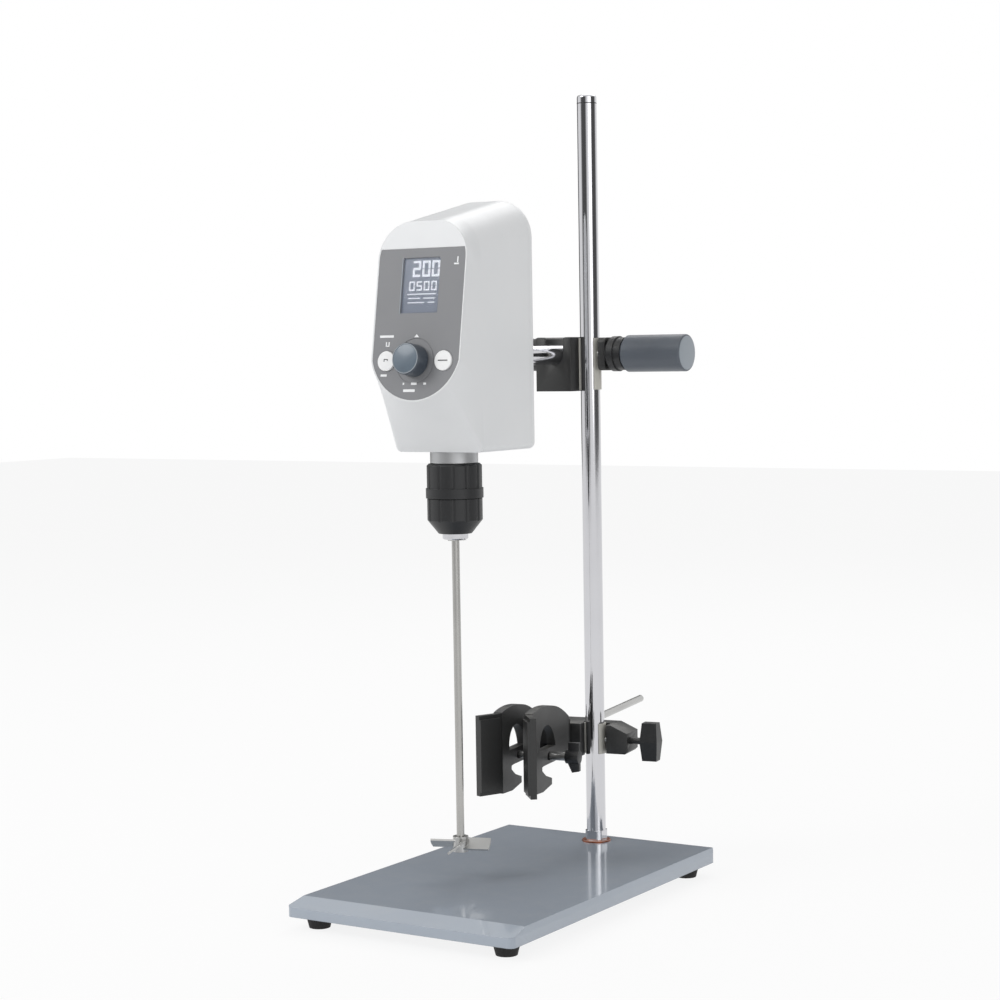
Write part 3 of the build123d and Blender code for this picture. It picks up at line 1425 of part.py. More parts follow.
# Body of the clamp, with a level slot for the jaw tongues and two upright pins
with BuildPart() as jaw_body:
    with BuildSketch(clamp_upright(body_half_w)):
        with BuildLine():
            Polyline(
                (body_start, body_low),
                (body_start, body_high),
                (body_step, body_top),
                (body_end, body_top),
                (body_end, body_end_low),
                close=True,
            )
        make_face()
    extrude(amount=2 * body_half_w)
    with BuildSketch(clamp_level(tongue_low - loose_gap)):
        with Locations((0, -(slot_start + body_end) / 2 - 1)):
            Rectangle(2 * body_half_w + 2, body_end - slot_start + 2)
    extrude(amount=tongue_h + 2 * loose_gap, mode=Mode.SUBTRACT)
    with BuildSketch(clamp_level(tongue_low - 1)):
        with Locations((-pivot_side, -pivot_at), (pivot_side, -pivot_at)):
            Circle(pivot_r)
    extrude(amount=tongue_h + 2)
    with BuildSketch(clamp_ahead(body_start - 1, 0, clamp_z)):
        Circle(clamp_rod_r + run_gap)
    extrude(amount=1 + arm_bite + arm_bore_spare, mode=Mode.SUBTRACT)
jaw_body.part.label = "jaw_body"
export_step(jaw_body.part, "parts/jaw_body.step")

flare = math.radians(grip_flare_deg)


def grip_point(side, along, out):
    """A point of a grip plate on the clamp's level plane, along its inner face and out from it."""
    aside = arm_in + along * math.sin(flare) + out * math.cos(flare)
    ahead = arm_crown[-1][0] + along * math.cos(flare) - out * math.sin(flare)
    return (side * aside, -ahead)


def vessel_jaw(side):
    """One jaw, side 1 for the right and -1 for the left: arched arm, pivot tongue, grip plate and pad."""
    root = arm_crown[-1][0] - grip_root
    outer_meets = (arm_t - grip_t * math.cos(flare)) / math.sin(flare)
    with BuildPart() as jaw:
        with BuildSketch(clamp_upright(arm_in + arm_t if side > 0 else -arm_in)):
            with BuildLine():
                Spline(*arm_crown)
                Polyline(arm_crown[-1], *arm_under, arm_crown[0])
            make_face()
            with BuildLine():
                Spline(*arch_top)
                Line(arch_top[-1], arch_top[0])
            make_face(mode=Mode.SUBTRACT)
            with Locations((bolt_at + bolt_slot_shift, bolt_z)):
                SlotOverall(bolt_slot_len, 2 * (bolt_r + loose_gap), mode=Mode.SUBTRACT)
        extrude(amount=arm_t)
        with BuildSketch(clamp_level(grip_low)):
            with BuildLine():
                Polyline(
                    (side * arm_in, -root),
                    grip_point(side, 0, 0),
                    grip_point(side, grip_len, 0),
                    grip_point(side, grip_len, grip_t),
                    grip_point(side, outer_meets, grip_t),
                    (side * (arm_in + arm_t), -root),
                    close=True,
                )
            make_face()
        extrude(amount=grip_high - grip_low)
        with BuildSketch(clamp_level(tongue_low)):
            with Locations((side * pivot_side, -pivot_at)):
                Circle(tongue_r)
            with Locations((side * (pivot_side + arm_in + 1) / 2, -pivot_at)):
                Rectangle(arm_in + 1 - pivot_side, 2 * tongue_r)
            with Locations((side * pivot_side, -pivot_at)):
                Circle(pivot_r + run_gap, mode=Mode.SUBTRACT)
        extrude(amount=tongue_h)
        with BuildSketch(clamp_level(grip_low + grip_pad_inset)):
            with BuildLine():
                Polyline(
                    grip_point(side, grip_pad_inset, -seat_gap / 2),
                    grip_point(side, grip_len, -seat_gap / 2),
                    grip_point(side, grip_len, -grip_pad_t),
                    grip_point(side, grip_pad_inset, -grip_pad_t),
                    close=True,
                )
            make_face()
        extrude(amount=grip_high - grip_low - 2 * grip_pad_inset)
    return jaw


near_jaw = vessel_jaw(1)
near_jaw.part.label = "near_jaw"
export_step(near_jaw.part, "parts/near_jaw.step")
far_jaw = vessel_jaw(-1)
far_jaw.part.label = "far_jaw"
export_step(far_jaw.part, "parts/far_jaw.step")

# Jaw screw through both jaws: sleeve and wing at the right, nut at the left
arm_out = arm_in + arm_t
sleeve_start = arm_out + loose_gap
wing_start = sleeve_start + sleeve_len + seat_gap
far_nut_end = arm_out + loose_gap + nut_t
with BuildPart() as jaw_sleeve:
    with BuildSketch(clamp_across(bolt_at, sleeve_start, bolt_z)):
        Circle(sleeve_r)
        Circle(bolt_r + run_gap, mode=Mode.SUBTRACT)
    extrude(amount=sleeve_len)
jaw_sleeve.part.label = "jaw_sleeve"
export_step(jaw_sleeve.part, "parts/jaw_sleeve.step")

with BuildPart() as jaw_bolt:
    with BuildSketch(clamp_across(bolt_at, -far_nut_end - bolt_spare, bolt_z)):
        Circle(bolt_r)
    extrude(amount=far_nut_end + bolt_spare + wing_start + wing_t - 1)
jaw_bolt.part.label = "jaw_bolt"
export_step(jaw_bolt.part, "parts/jaw_bolt.step")

with BuildPart() as far_nut:
    with BuildSketch(clamp_across(bolt_at, -far_nut_end, bolt_z)):
        RegularPolygon(nut_flats / 2, 6, major_radius=False)
        Circle(bolt_r + run_gap, mode=Mode.SUBTRACT)
    extrude(amount=nut_t)
far_nut.part.label = "far_nut"
export_step(far_nut.part, "parts/far_nut.step")

wing_axis = clamp_across(bolt_at, wing_start, bolt_z)
with BuildPart() as wing_nut:
    with BuildSketch(Plane(origin=wing_axis.origin, x_dir=wing_axis.z_dir, z_dir=wing_axis.x_dir * -1)):
        with BuildLine():
            Polyline(*wing_shape, close=True)
        make_face()
    extrude(amount=wing_w / 2, both=True)
    with BuildSketch(wing_axis):
        Circle(wing_hub_r)
    extrude(amount=wing_t)
    with BuildSketch(wing_axis):
        Circle(bolt_r)
    extrude(amount=wing_t - 1, mode=Mode.SUBTRACT)
wing_nut.part.label = "wing_nut"
export_step(wing_nut.part, "parts/wing_nut.step")
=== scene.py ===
"""Looks of the overhead stirrer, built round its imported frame."""

import json
import logging
import math
from dataclasses import dataclass
from enum import Enum
from typing import ClassVar, Dict, List, Optional, Sequence, Tuple

import bpy
from mathutils import Matrix, Vector

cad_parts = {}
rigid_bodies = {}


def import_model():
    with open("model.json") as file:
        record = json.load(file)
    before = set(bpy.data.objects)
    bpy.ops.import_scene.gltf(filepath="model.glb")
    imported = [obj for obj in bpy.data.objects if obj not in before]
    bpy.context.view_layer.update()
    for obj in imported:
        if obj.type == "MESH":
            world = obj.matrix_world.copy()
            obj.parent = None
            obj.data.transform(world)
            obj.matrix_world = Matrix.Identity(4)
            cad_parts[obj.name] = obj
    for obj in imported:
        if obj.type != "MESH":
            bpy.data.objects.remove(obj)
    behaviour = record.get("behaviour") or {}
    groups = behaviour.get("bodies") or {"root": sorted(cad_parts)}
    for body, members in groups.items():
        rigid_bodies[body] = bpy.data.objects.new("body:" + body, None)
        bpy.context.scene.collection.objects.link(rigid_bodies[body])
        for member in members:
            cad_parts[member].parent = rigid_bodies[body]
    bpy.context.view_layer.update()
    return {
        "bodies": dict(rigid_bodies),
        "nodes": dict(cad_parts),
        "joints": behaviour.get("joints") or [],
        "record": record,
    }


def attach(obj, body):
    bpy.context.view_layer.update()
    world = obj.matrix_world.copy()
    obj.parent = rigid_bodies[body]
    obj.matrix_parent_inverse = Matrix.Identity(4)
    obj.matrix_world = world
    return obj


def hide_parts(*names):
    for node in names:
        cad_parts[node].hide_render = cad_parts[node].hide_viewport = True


LOG = logging.getLogger("stirrer")
MM = 0.001
RING_MERGE = 0.000002
NODE_MERGE = 0.00001
FLAT_ANGLE = math.radians(0.8)

# Places of the colour sockets on a Mix node that mixes colours
COLOUR_A = 6
COLOUR_B = 7
COLOUR_RESULT = 2

Colour = Tuple[float, float, float]
Point = Tuple[float, float, float]
Ring = Tuple[float, float]
Corner = Tuple[float, float]
Line = Tuple[float, float, float]
Bar = Tuple[float, float, float, float]


def srgb(red: float, green: float, blue: float) -> Colour:
    """A colour written in 0 to 255 display values, as linear light.

    Args:
        red, green, blue: display values from 0 to 255.

    Returns:
        The same colour in linear light.
    """

    def linear(value: float) -> float:
        """One channel through the sRGB curve.

        Args:
            value: the channel's display value.

        Returns:
            The channel in linear light.
        """
        share = value / 255
        return share / 12.92 if share <= 0.04045 else ((share + 0.055) / 1.055) ** 2.4

    return (linear(red), linear(green), linear(blue))


DUST_COLOUR = srgb(196, 192, 184)
DUST_ROUGHENS = 0.5
LEAST_ROUGHNESS = 0.02
PIT_DEPTH = 0.4
COARSE_LINES = 0.17
EDGE_SAMPLES = 4
WHITE = (1.0, 1.0, 1.0, 1.0)


class Axis(Enum):
    """The direction in which a finish's lines run."""

    Z = (14.0, 14.0, 1.0)
    RINGS = (1.0, 1.0, 40.0)


class Tree:
    """A node tree with short ways to add and join its nodes."""

    def __init__(self, tree: bpy.types.NodeTree) -> None:
        """Keeps the tree.

        Args:
            tree: the node tree to work on.
        """
        self.tree = tree

    def add(self, kind: str, **inputs: object) -> bpy.types.Node:
        """Adds a node and sets or joins its inputs.

        Args:
            kind: the node's type name.
            inputs: values or sockets by input name, with _ for a space; "at_" and a number picks
                by place.

        Returns:
            The new node.
        """
        node = self.tree.nodes.new(kind)
        for name, value in inputs.items():
            key = int(name[3:]) if name.startswith("at_") else name.replace("_", " ")
            socket = node.inputs[key]
            if isinstance(value, bpy.types.NodeSocket):
                self.tree.links.new(value, socket)
            else:
                socket.default_value = value
        return node

    def math(self, operation: str, first: object, second: object = 0.0,
             third: object = 0.0) -> bpy.types.NodeSocket:
        """A Math node's result.

        Args:
            operation: the Math node's operation.
            first, second, third: numbers or sockets.

        Returns:
            The socket that carries the result.
        """
        node = self.add("ShaderNodeMath", at_0=first, at_1=second, at_2=third)
        node.operation = operation
        return node.outputs[0]

    def join(self, source: bpy.types.NodeSocket, target: bpy.types.NodeSocket) -> None:
        """Links one socket to another.

        Args:
            source: the output socket.
            target: the input socket.
        """
        self.tree.links.new(source, target)


def new_group(name: str, numbers: Dict[str, float], vectors: Sequence[str], colours: Sequence[str],
              results: Dict[str, str]) -> Tuple[bpy.types.NodeTree, Tree, bpy.types.Node, bpy.types.Node]:
    """An empty shader node group with its sockets.

    Args:
        name: the group's name.
        numbers: its number inputs with their defaults.
        vectors: its vector inputs.
        colours: its colour inputs.
        results: its outputs, each with its socket type.

    Returns:
        The group, a helper for it, its input node and its output node.
    """
    group = bpy.data.node_groups.new(name, "ShaderNodeTree")
    for socket in vectors:
        group.interface.new_socket(socket, in_out="INPUT", socket_type="NodeSocketVector")
    for socket in colours:
        group.interface.new_socket(socket, in_out="INPUT", socket_type="NodeSocketColor")
    for socket, value in numbers.items():
        made = group.interface.new_socket(socket, in_out="INPUT", socket_type="NodeSocketFloat")
        made.default_value = value
    for socket, kind in results.items():
        group.interface.new_socket(socket, in_out="OUTPUT", socket_type=kind)
    start = group.nodes.new("NodeGroupInput")
    end = group.nodes.new("NodeGroupOutput")
    return group, Tree(group), start, end


class SharedGroups:
    """The node groups that the finishes share, each built once."""

    def __init__(self) -> None:
        """Builds the three groups."""
        self.grain = self._grain()
        self.lines = self._lines()
        self.dust = self._dust()

    def _grain(self) -> bpy.types.NodeTree:
        """Fine moulded or cast grain with soft, larger patches.

        Returns:
            The group: a grain height and a patch mask.
        """
        group, tree, start, end = new_group(
            "surface_grain", {"Scale": 900.0, "Patch Scale": 14.0}, ["Vector"], [],
            {"Height": "NodeSocketFloat", "Patch": "NodeSocketFloat"})
        fine = tree.add("ShaderNodeTexNoise", Vector=start.outputs["Vector"], Scale=start.outputs["Scale"],
                        Detail=3.0, Roughness=0.6)
        pits = tree.add("ShaderNodeTexVoronoi", Vector=start.outputs["Vector"], Scale=start.outputs["Scale"])
        height = tree.math("MULTIPLY_ADD", pits.outputs["Distance"], PIT_DEPTH, fine.outputs["Fac"])
        broad = tree.add("ShaderNodeTexNoise", Vector=start.outputs["Vector"],
                         Scale=start.outputs["Patch Scale"], Detail=4.0, Roughness=0.55, Distortion=0.3)
        tree.join(height, end.inputs["Height"])
        tree.join(broad.outputs["Fac"], end.inputs["Patch"])
        return group

    def _lines(self) -> bpy.types.NodeTree:
        """Long fine lines, as drawing, turning or brushing leaves them.

        Returns:
            The group: a line height and a line mask.
        """
        group, tree, start, end = new_group(
            "tool_lines", {"Scale": 160.0}, ["Vector", "Stretch"], [],
            {"Height": "NodeSocketFloat", "Mask": "NodeSocketFloat"})
        stretched = tree.add("ShaderNodeVectorMath", at_0=start.outputs["Vector"],
                             at_1=start.outputs["Stretch"])
        stretched.operation = "MULTIPLY"
        fine = tree.add("ShaderNodeTexNoise", Vector=stretched.outputs[0], Scale=start.outputs["Scale"],
                        Detail=5.0, Roughness=0.7)
        coarse = tree.add("ShaderNodeTexNoise", Vector=stretched.outputs[0],
                          Scale=tree.math("MULTIPLY", start.outputs["Scale"], COARSE_LINES), Detail=2.0)
        tree.join(fine.outputs["Fac"], end.inputs["Height"])
        tree.join(tree.math("MULTIPLY", fine.outputs["Fac"], coarse.outputs["Fac"]), end.inputs["Mask"])
        return group

    def _dust(self) -> bpy.types.NodeTree:
        """A thin veil of dust, in patches, on faces that look up.

        Returns:
            The group: the dusted colour and the dust mask.
        """
        group, tree, start, end = new_group(
            "dust_and_scuffs", {"Amount": 0.1, "Scale": 60.0}, ["Vector"], ["Colour", "Dust Colour"],
            {"Colour": "NodeSocketColor", "Mask": "NodeSocketFloat"})
        geometry = tree.add("ShaderNodeNewGeometry")
        split = tree.add("ShaderNodeSeparateXYZ", Vector=geometry.outputs["Normal"])
        upward = tree.math("MAXIMUM", split.outputs["Z"], 0.0)
        noise = tree.add("ShaderNodeTexNoise", Vector=start.outputs["Vector"], Scale=start.outputs["Scale"],
                         Detail=6.0, Roughness=0.65)
        patches = tree.add("ShaderNodeMapRange", Value=noise.outputs["Fac"], From_Min=0.45, From_Max=0.8)
        dusty = tree.math("MULTIPLY", upward, patches.outputs[0])
        mask = tree.math("MULTIPLY", dusty, start.outputs["Amount"])
        mixed = tree.add("ShaderNodeMix", Factor=mask)
        mixed.data_type = "RGBA"
        tree.join(start.outputs["Colour"], mixed.inputs[COLOUR_A])
        tree.join(start.outputs["Dust Colour"], mixed.inputs[COLOUR_B])
        tree.join(mixed.outputs[COLOUR_RESULT], end.inputs["Colour"])
        tree.join(mask, end.inputs["Mask"])
        return group


@dataclass(frozen=True)
class Finish:
    """One surface finish with all that its material needs."""

    name: str
    colour: Colour
    shade: Colour
    roughness: float
    spread: float = 0.08
    metallic: float = 0.0
    grain_scale: float = 900.0
    patch_scale: float = 14.0
    grain_depth: float = 0.00003
    lines: Optional[Axis] = None
    line_scale: float = 160.0
    line_depth: float = 0.00001
    dust: float = 0.1
    coat: float = 0.0
    coat_roughness: float = 0.08
    ior: float = 1.5
    alpha: float = 1.0
    emission: float = 0.0
    edge_round: float = 0.0003

    def material(self, groups: SharedGroups) -> bpy.types.Material:
        """Builds the finish's material.

        Args:
            groups: the shared node groups.

        Returns:
            The new material.
        """
        material = bpy.data.materials.new(self.name)
        material.use_nodes = True
        material.node_tree.nodes.clear()
        tree = Tree(material.node_tree)
        place = tree.add("ShaderNodeTexCoord").outputs["Object"]
        grain = tree.add("ShaderNodeGroup")
        grain.node_tree = groups.grain
        tree.join(place, grain.inputs["Vector"])
        grain.inputs["Scale"].default_value = self.grain_scale
        grain.inputs["Patch Scale"].default_value = self.patch_scale
        mixed = tree.add("ShaderNodeMix", Factor=grain.outputs["Patch"])
        mixed.data_type = "RGBA"
        mixed.inputs[COLOUR_A].default_value = (*self.colour, 1.0)
        mixed.inputs[COLOUR_B].default_value = (*self.shade, 1.0)
        dusted = tree.add("ShaderNodeGroup")
        dusted.node_tree = groups.dust
        tree.join(place, dusted.inputs["Vector"])
        tree.join(mixed.outputs[COLOUR_RESULT], dusted.inputs["Colour"])
        dusted.inputs["Dust Colour"].default_value = (*DUST_COLOUR, 1.0)
        dusted.inputs["Amount"].default_value = self.dust
        least = self.roughness - self.spread
        rough = tree.math("MULTIPLY_ADD", grain.outputs["Patch"], 2 * self.spread, least)
        rough = tree.math("ADD", rough, tree.math("MULTIPLY", dusted.outputs["Mask"], DUST_ROUGHENS))
        height = tree.math("MULTIPLY", grain.outputs["Height"], self.grain_depth)
        if self.lines:
            lines = tree.add("ShaderNodeGroup")
            lines.node_tree = groups.lines
            tree.join(place, lines.inputs["Vector"])
            lines.inputs["Stretch"].default_value = self.lines.value
            lines.inputs["Scale"].default_value = self.line_scale
            height = tree.math("MULTIPLY_ADD", lines.outputs["Height"], self.line_depth, height)
            rough = tree.math("MULTIPLY_ADD", lines.outputs["Mask"], self.spread, rough)
        shader = tree.add("ShaderNodeBsdfPrincipled", Metallic=self.metallic, Coat_Weight=self.coat,
                          Coat_Roughness=self.coat_roughness, IOR=self.ior, Alpha=self.alpha)
        tree.join(dusted.outputs["Colour"], shader.inputs["Base Color"])
        tree.join(tree.math("MAXIMUM", rough, LEAST_ROUGHNESS), shader.inputs["Roughness"])
        if self.emission:
            tree.join(dusted.outputs["Colour"], shader.inputs["Emission Color"])
            shader.inputs["Emission Strength"].default_value = self.emission
        bump = tree.add("ShaderNodeBump", Height=height, Strength=1.0, Distance=1.0)
        if self.edge_round:
            rounded = tree.add("ShaderNodeBevel", Radius=self.edge_round)
            rounded.samples = EDGE_SAMPLES
            tree.join(rounded.outputs[0], bump.inputs["Normal"])
        tree.join(bump.outputs[0], shader.inputs["Normal"])
        out = tree.add("ShaderNodeOutputMaterial", Surface=shader.outputs[0])
        out.target = "ALL"
        return material


class Finishes:
    """All the finishes of the stirrer, made when first asked for."""

    PALETTE: Tuple[Finish, ...] = (
        Finish("plate_enamel", srgb(168, 177, 188), srgb(160, 169, 181), 0.16, spread=0.05, grain_scale=420.0,
               grain_depth=0.000012, dust=0.1, coat=0.6, coat_roughness=0.05, edge_round=0.0008),
        Finish("rod_chrome", srgb(214, 214, 217), srgb(203, 203, 207), 0.09, spread=0.03, metallic=1.0,
               grain_scale=300.0, grain_depth=0.000002, lines=Axis.Z, line_scale=70.0, line_depth=0.000003,
               dust=0.04),
        Finish("turned_steel", srgb(196, 196, 194), srgb(176, 176, 175), 0.28, spread=0.08, metallic=1.0,
               grain_depth=0.000004, lines=Axis.RINGS, line_scale=110.0, line_depth=0.000008, dust=0.06),
        Finish("drawn_steel", srgb(190, 189, 186), srgb(166, 165, 163), 0.24, spread=0.08, metallic=1.0,
               grain_depth=0.000003, lines=Axis.Z, line_scale=60.0, line_depth=0.000006, dust=0.05),
        Finish("black_enamel", srgb(46, 46, 45), srgb(34, 35, 36), 0.42, spread=0.1, grain_scale=650.0,
               grain_depth=0.00007, dust=0.22, edge_round=0.0007),
        Finish("black_plastic", srgb(33, 34, 36), srgb(25, 26, 28), 0.4, spread=0.08, grain_scale=1200.0,
               grain_depth=0.00004, dust=0.16, edge_round=0.0005),
        Finish("handle_slate", srgb(96, 103, 112), srgb(84, 90, 98), 0.4, spread=0.06, grain_scale=1300.0,
               grain_depth=0.00003, dust=0.12, edge_round=0.0006),
        Finish("shell_grey", srgb(229, 230, 231), srgb(222, 224, 226), 0.36, spread=0.05, grain_scale=1500.0,
               grain_depth=0.000025, dust=0.1, edge_round=0.0007),
        Finish("panel_film", srgb(132, 133, 136), srgb(126, 127, 130), 0.46, spread=0.06, grain_scale=2100.0,
               grain_depth=0.00002, dust=0.05),
        Finish("window_glass", srgb(150, 158, 172), srgb(142, 150, 164), 0.06, spread=0.02, grain_depth=0.0,
               dust=0.03, alpha=0.16, ior=1.46, edge_round=0.0),
        # The knob's slate made lighter: painted sheen on the knob's face where the light falls on it.
        Finish("knob_face_sheen", srgb(112, 126, 138), srgb(84, 96, 108), 0.3, spread=0.06, patch_scale=60.0,
               grain_depth=0.00001, dust=0.03, coat=0.2),
        Finish("key_white", srgb(243, 243, 243), srgb(236, 237, 238), 0.34, spread=0.04, grain_scale=1500.0,
               grain_depth=0.00002, dust=0.04),
        Finish("knob_slate", srgb(70, 78, 88), srgb(58, 66, 76), 0.3, spread=0.06, grain_scale=1700.0,
               grain_depth=0.00002, dust=0.08, coat=0.2, edge_round=0.0005),
        Finish("board_green", srgb(30, 88, 52), srgb(22, 72, 44), 0.35, dust=0.05),
        Finish("module_grey", srgb(120, 122, 126), srgb(108, 110, 114), 0.5, dust=0.05),
        Finish("foot_rubber", srgb(34, 33, 33), srgb(26, 26, 26), 0.72, spread=0.1, grain_scale=700.0,
               grain_depth=0.00008, dust=0.3, edge_round=0.0006),
        Finish("liner_nylon", srgb(206, 204, 196), srgb(192, 190, 182), 0.5, dust=0.1),
        Finish("machined_aluminium", srgb(190, 191, 192), srgb(172, 173, 175), 0.34, metallic=1.0,
               lines=Axis.RINGS, line_scale=120.0, line_depth=0.000012, dust=0.08),
        Finish("core_steel", srgb(92, 92, 94), srgb(74, 74, 76), 0.5, metallic=1.0, lines=Axis.RINGS,
               line_scale=300.0, line_depth=0.00003, dust=0.05),
        Finish("copper_washer", srgb(168, 104, 76), srgb(138, 80, 56), 0.36, spread=0.12, metallic=1.0,
               grain_scale=600.0, grain_depth=0.00002, dust=0.1),
        # Pale grey for painted light: the window's lit edge, the knob's rim and the handles' end faces.
        Finish("painted_light_grey", srgb(158, 166, 173), srgb(146, 154, 162), 0.4, spread=0.06, grain_scale=1500.0,
               grain_depth=0.00003, dust=0.06),
        Finish("mark_white", srgb(244, 245, 246), srgb(235, 236, 238), 0.5, grain_depth=0.00001, dust=0.02,
               edge_round=0.0),
        Finish("mark_dark", srgb(70, 72, 76), srgb(60, 62, 66), 0.5, grain_depth=0.00001, dust=0.02,
               edge_round=0.0),
        Finish("screen_back", srgb(126, 134, 150), srgb(108, 116, 132), 0.3, patch_scale=40.0,
               grain_depth=0.0, dust=0.0, emission=0.12, edge_round=0.0),
        Finish("screen_digits", srgb(246, 248, 252), srgb(238, 241, 248), 0.4, grain_depth=0.0, dust=0.0,
               emission=0.25, edge_round=0.0),
    )

    def __init__(self) -> None:
        """Builds the shared groups and keeps an empty store."""
        self.groups = SharedGroups()
        self.made: Dict[str, bpy.types.Material] = {}
        self.palette = {finish.name: finish for finish in self.PALETTE}

    def get(self, name: str) -> bpy.types.Material:
        """The material of a finish.

        Args:
            name: the finish's name.

        Returns:
            Its material.
        """
        if name not in self.made:
            self.made[name] = self.palette[name].material(self.groups)
        return self.made[name]

    def dress(self, piece: bpy.types.Object, name: str) -> None:
        """Gives a piece one finish all over.

        Args:
            piece: the piece or CAD node.
            name: the finish's name.
        """
        piece.data.materials.clear()
        piece.data.materials.append(self.get(name))


class Shaper:
    """Ways to model a piece with Blender's own operators."""

    @staticmethod
    def clear() -> None:
        """Deselects everything."""
        for other in bpy.data.objects:
            other.select_set(False)

    @staticmethod
    def pick(piece: bpy.types.Object) -> None:
        """Makes one piece the only selected and active one.

        Args:
            piece: the piece.
        """
        Shaper.clear()
        piece.select_set(True)
        bpy.context.view_layer.objects.active = piece

    @staticmethod
    def place(piece: bpy.types.Object, frame: Matrix) -> None:
        """Puts a piece in its frame and applies its place to the mesh.

        Args:
            piece: the piece, modelled about the origin.
            frame: where it goes.
        """
        Shaper.pick(piece)
        piece.matrix_world = frame
        bpy.ops.object.transform_apply(location=True, rotation=True, scale=True)

    @staticmethod
    def turned(name: str, rings: Sequence[Ring], frame: Matrix, sides: int = 64,
               closed: bool = True) -> bpy.types.Object:
        """A turned piece: a circle extruded and scaled from ring to ring.

        Args:
            name: the piece's name.
            rings: radius and height of each ring, in millimetres, from the first to the last.
            frame: where its axis stands.
            sides: how many sides its circles have.
            closed: whether the two ends are filled; when not, the last ring is joined to the first.

        Returns:
            The piece.
        """
        radius, height = rings[0]
        Shaper.clear()
        bpy.ops.mesh.primitive_circle_add(vertices=sides, radius=radius * MM, location=(0, 0, height * MM))
        piece = bpy.context.active_object
        piece.name = name
        bpy.ops.object.mode_set(mode="EDIT")
        bpy.ops.mesh.select_all(action="SELECT")
        if closed:
            bpy.ops.mesh.edge_face_add()
            bpy.ops.mesh.select_all(action="SELECT")
        steps = list(rings[1:]) if closed else [*rings[1:], rings[0]]
        for next_radius, next_height in steps:
            bpy.ops.mesh.extrude_region_move(
                TRANSFORM_OT_translate={"value": (0, 0, (next_height - height) * MM)})
            share = next_radius / radius
            bpy.ops.transform.resize(value=(share, share, 1), center_override=(0, 0, next_height * MM))
            radius, height = next_radius, next_height
        bpy.ops.mesh.select_all(action="SELECT")
        bpy.ops.mesh.remove_doubles(threshold=RING_MERGE)
        bpy.ops.mesh.normals_make_consistent(inside=False)
        bpy.ops.object.mode_set(mode="OBJECT")
        Shaper.place(piece, frame)
        Shaper.smooth(piece)
        return piece

    @staticmethod
    def smooth(piece: bpy.types.Object, angle: float = 32.0) -> None:
        """Smooth shading up to an angle.

        Args:
            piece: the piece.
            angle: the sharpest smoothed edge, in degrees.
        """
        Shaper.pick(piece)
        bpy.ops.object.shade_smooth_by_angle(angle=math.radians(angle))

    @staticmethod
    def bevel(piece: bpy.types.Object, width: float, segments: int, angle: float) -> None:
        """Bevels the sharp edges with an applied modifier.

        Args:
            piece: the piece.
            width: the bevel's width in millimetres.
            segments: its steps.
            angle: the least angle of a bevelled edge, in degrees.
        """
        Shaper.pick(piece)
        modifier = piece.modifiers.new("edges", "BEVEL")
        modifier.width = width * MM
        modifier.segments = segments
        modifier.limit_method = "ANGLE"
        modifier.angle_limit = math.radians(angle)
        bpy.ops.object.modifier_apply(modifier=modifier.name)

    @staticmethod
    def slab(name: str, corners: Sequence[Corner], thickness: float, frame: Matrix) -> bpy.types.Object:
        """A flat piece: a filled outline extruded along its frame's z axis.

        Args:
            name: the piece's name.
            corners: its outline in millimetres, in order.
            thickness: its thickness in millimetres.
            frame: the plane that it is drawn on.

        Returns:
            The piece.
        """
        Shaper.clear()
        bpy.ops.mesh.primitive_circle_add(vertices=len(corners), radius=MM, location=(0, 0, 0))
        piece = bpy.context.active_object
        piece.name = name
        for vertex, (across, up) in zip(piece.data.vertices, corners):
            vertex.co = (across * MM, up * MM, 0.0)
        bpy.ops.object.mode_set(mode="EDIT")
        bpy.ops.mesh.select_all(action="SELECT")
        bpy.ops.mesh.edge_face_add()
        bpy.ops.mesh.extrude_region_move(TRANSFORM_OT_translate={"value": (0, 0, thickness * MM)})
        bpy.ops.mesh.select_all(action="SELECT")
        bpy.ops.mesh.normals_make_consistent(inside=False)
        bpy.ops.object.mode_set(mode="OBJECT")
        Shaper.place(piece, frame)
        return piece

    @staticmethod
    def merge(name: str, parts: Sequence[bpy.types.Object]) -> bpy.types.Object:
        """Joins several meshes into one piece.

        Args:
            name: the joined piece's name.
            parts: the meshes.

        Returns:
            The joined piece.
        """
        Shaper.clear()
        for part in parts:
            part.select_set(True)
        bpy.context.view_layer.objects.active = parts[0]
        bpy.ops.object.join()
        parts[0].name = name
        return parts[0]

    @staticmethod
    def from_node(node: str, name: str) -> bpy.types.Object:
        """A separate copy of a CAD node's mesh with its doubles merged.

        Args:
            node: the CAD node.
            name: the copy's name.

        Returns:
            The copy.
        """
        source = bpy.data.objects[node]
        copy = bpy.data.objects.new(name, source.data.copy())
        bpy.context.scene.collection.objects.link(copy)
        Shaper.pick(copy)
        bpy.ops.object.mode_set(mode="EDIT")
        bpy.ops.mesh.select_all(action="SELECT")
        bpy.ops.mesh.remove_doubles(threshold=NODE_MERGE)
        bpy.ops.mesh.dissolve_limited(angle_limit=FLAT_ANGLE)
        bpy.ops.object.mode_set(mode="OBJECT")
        return copy


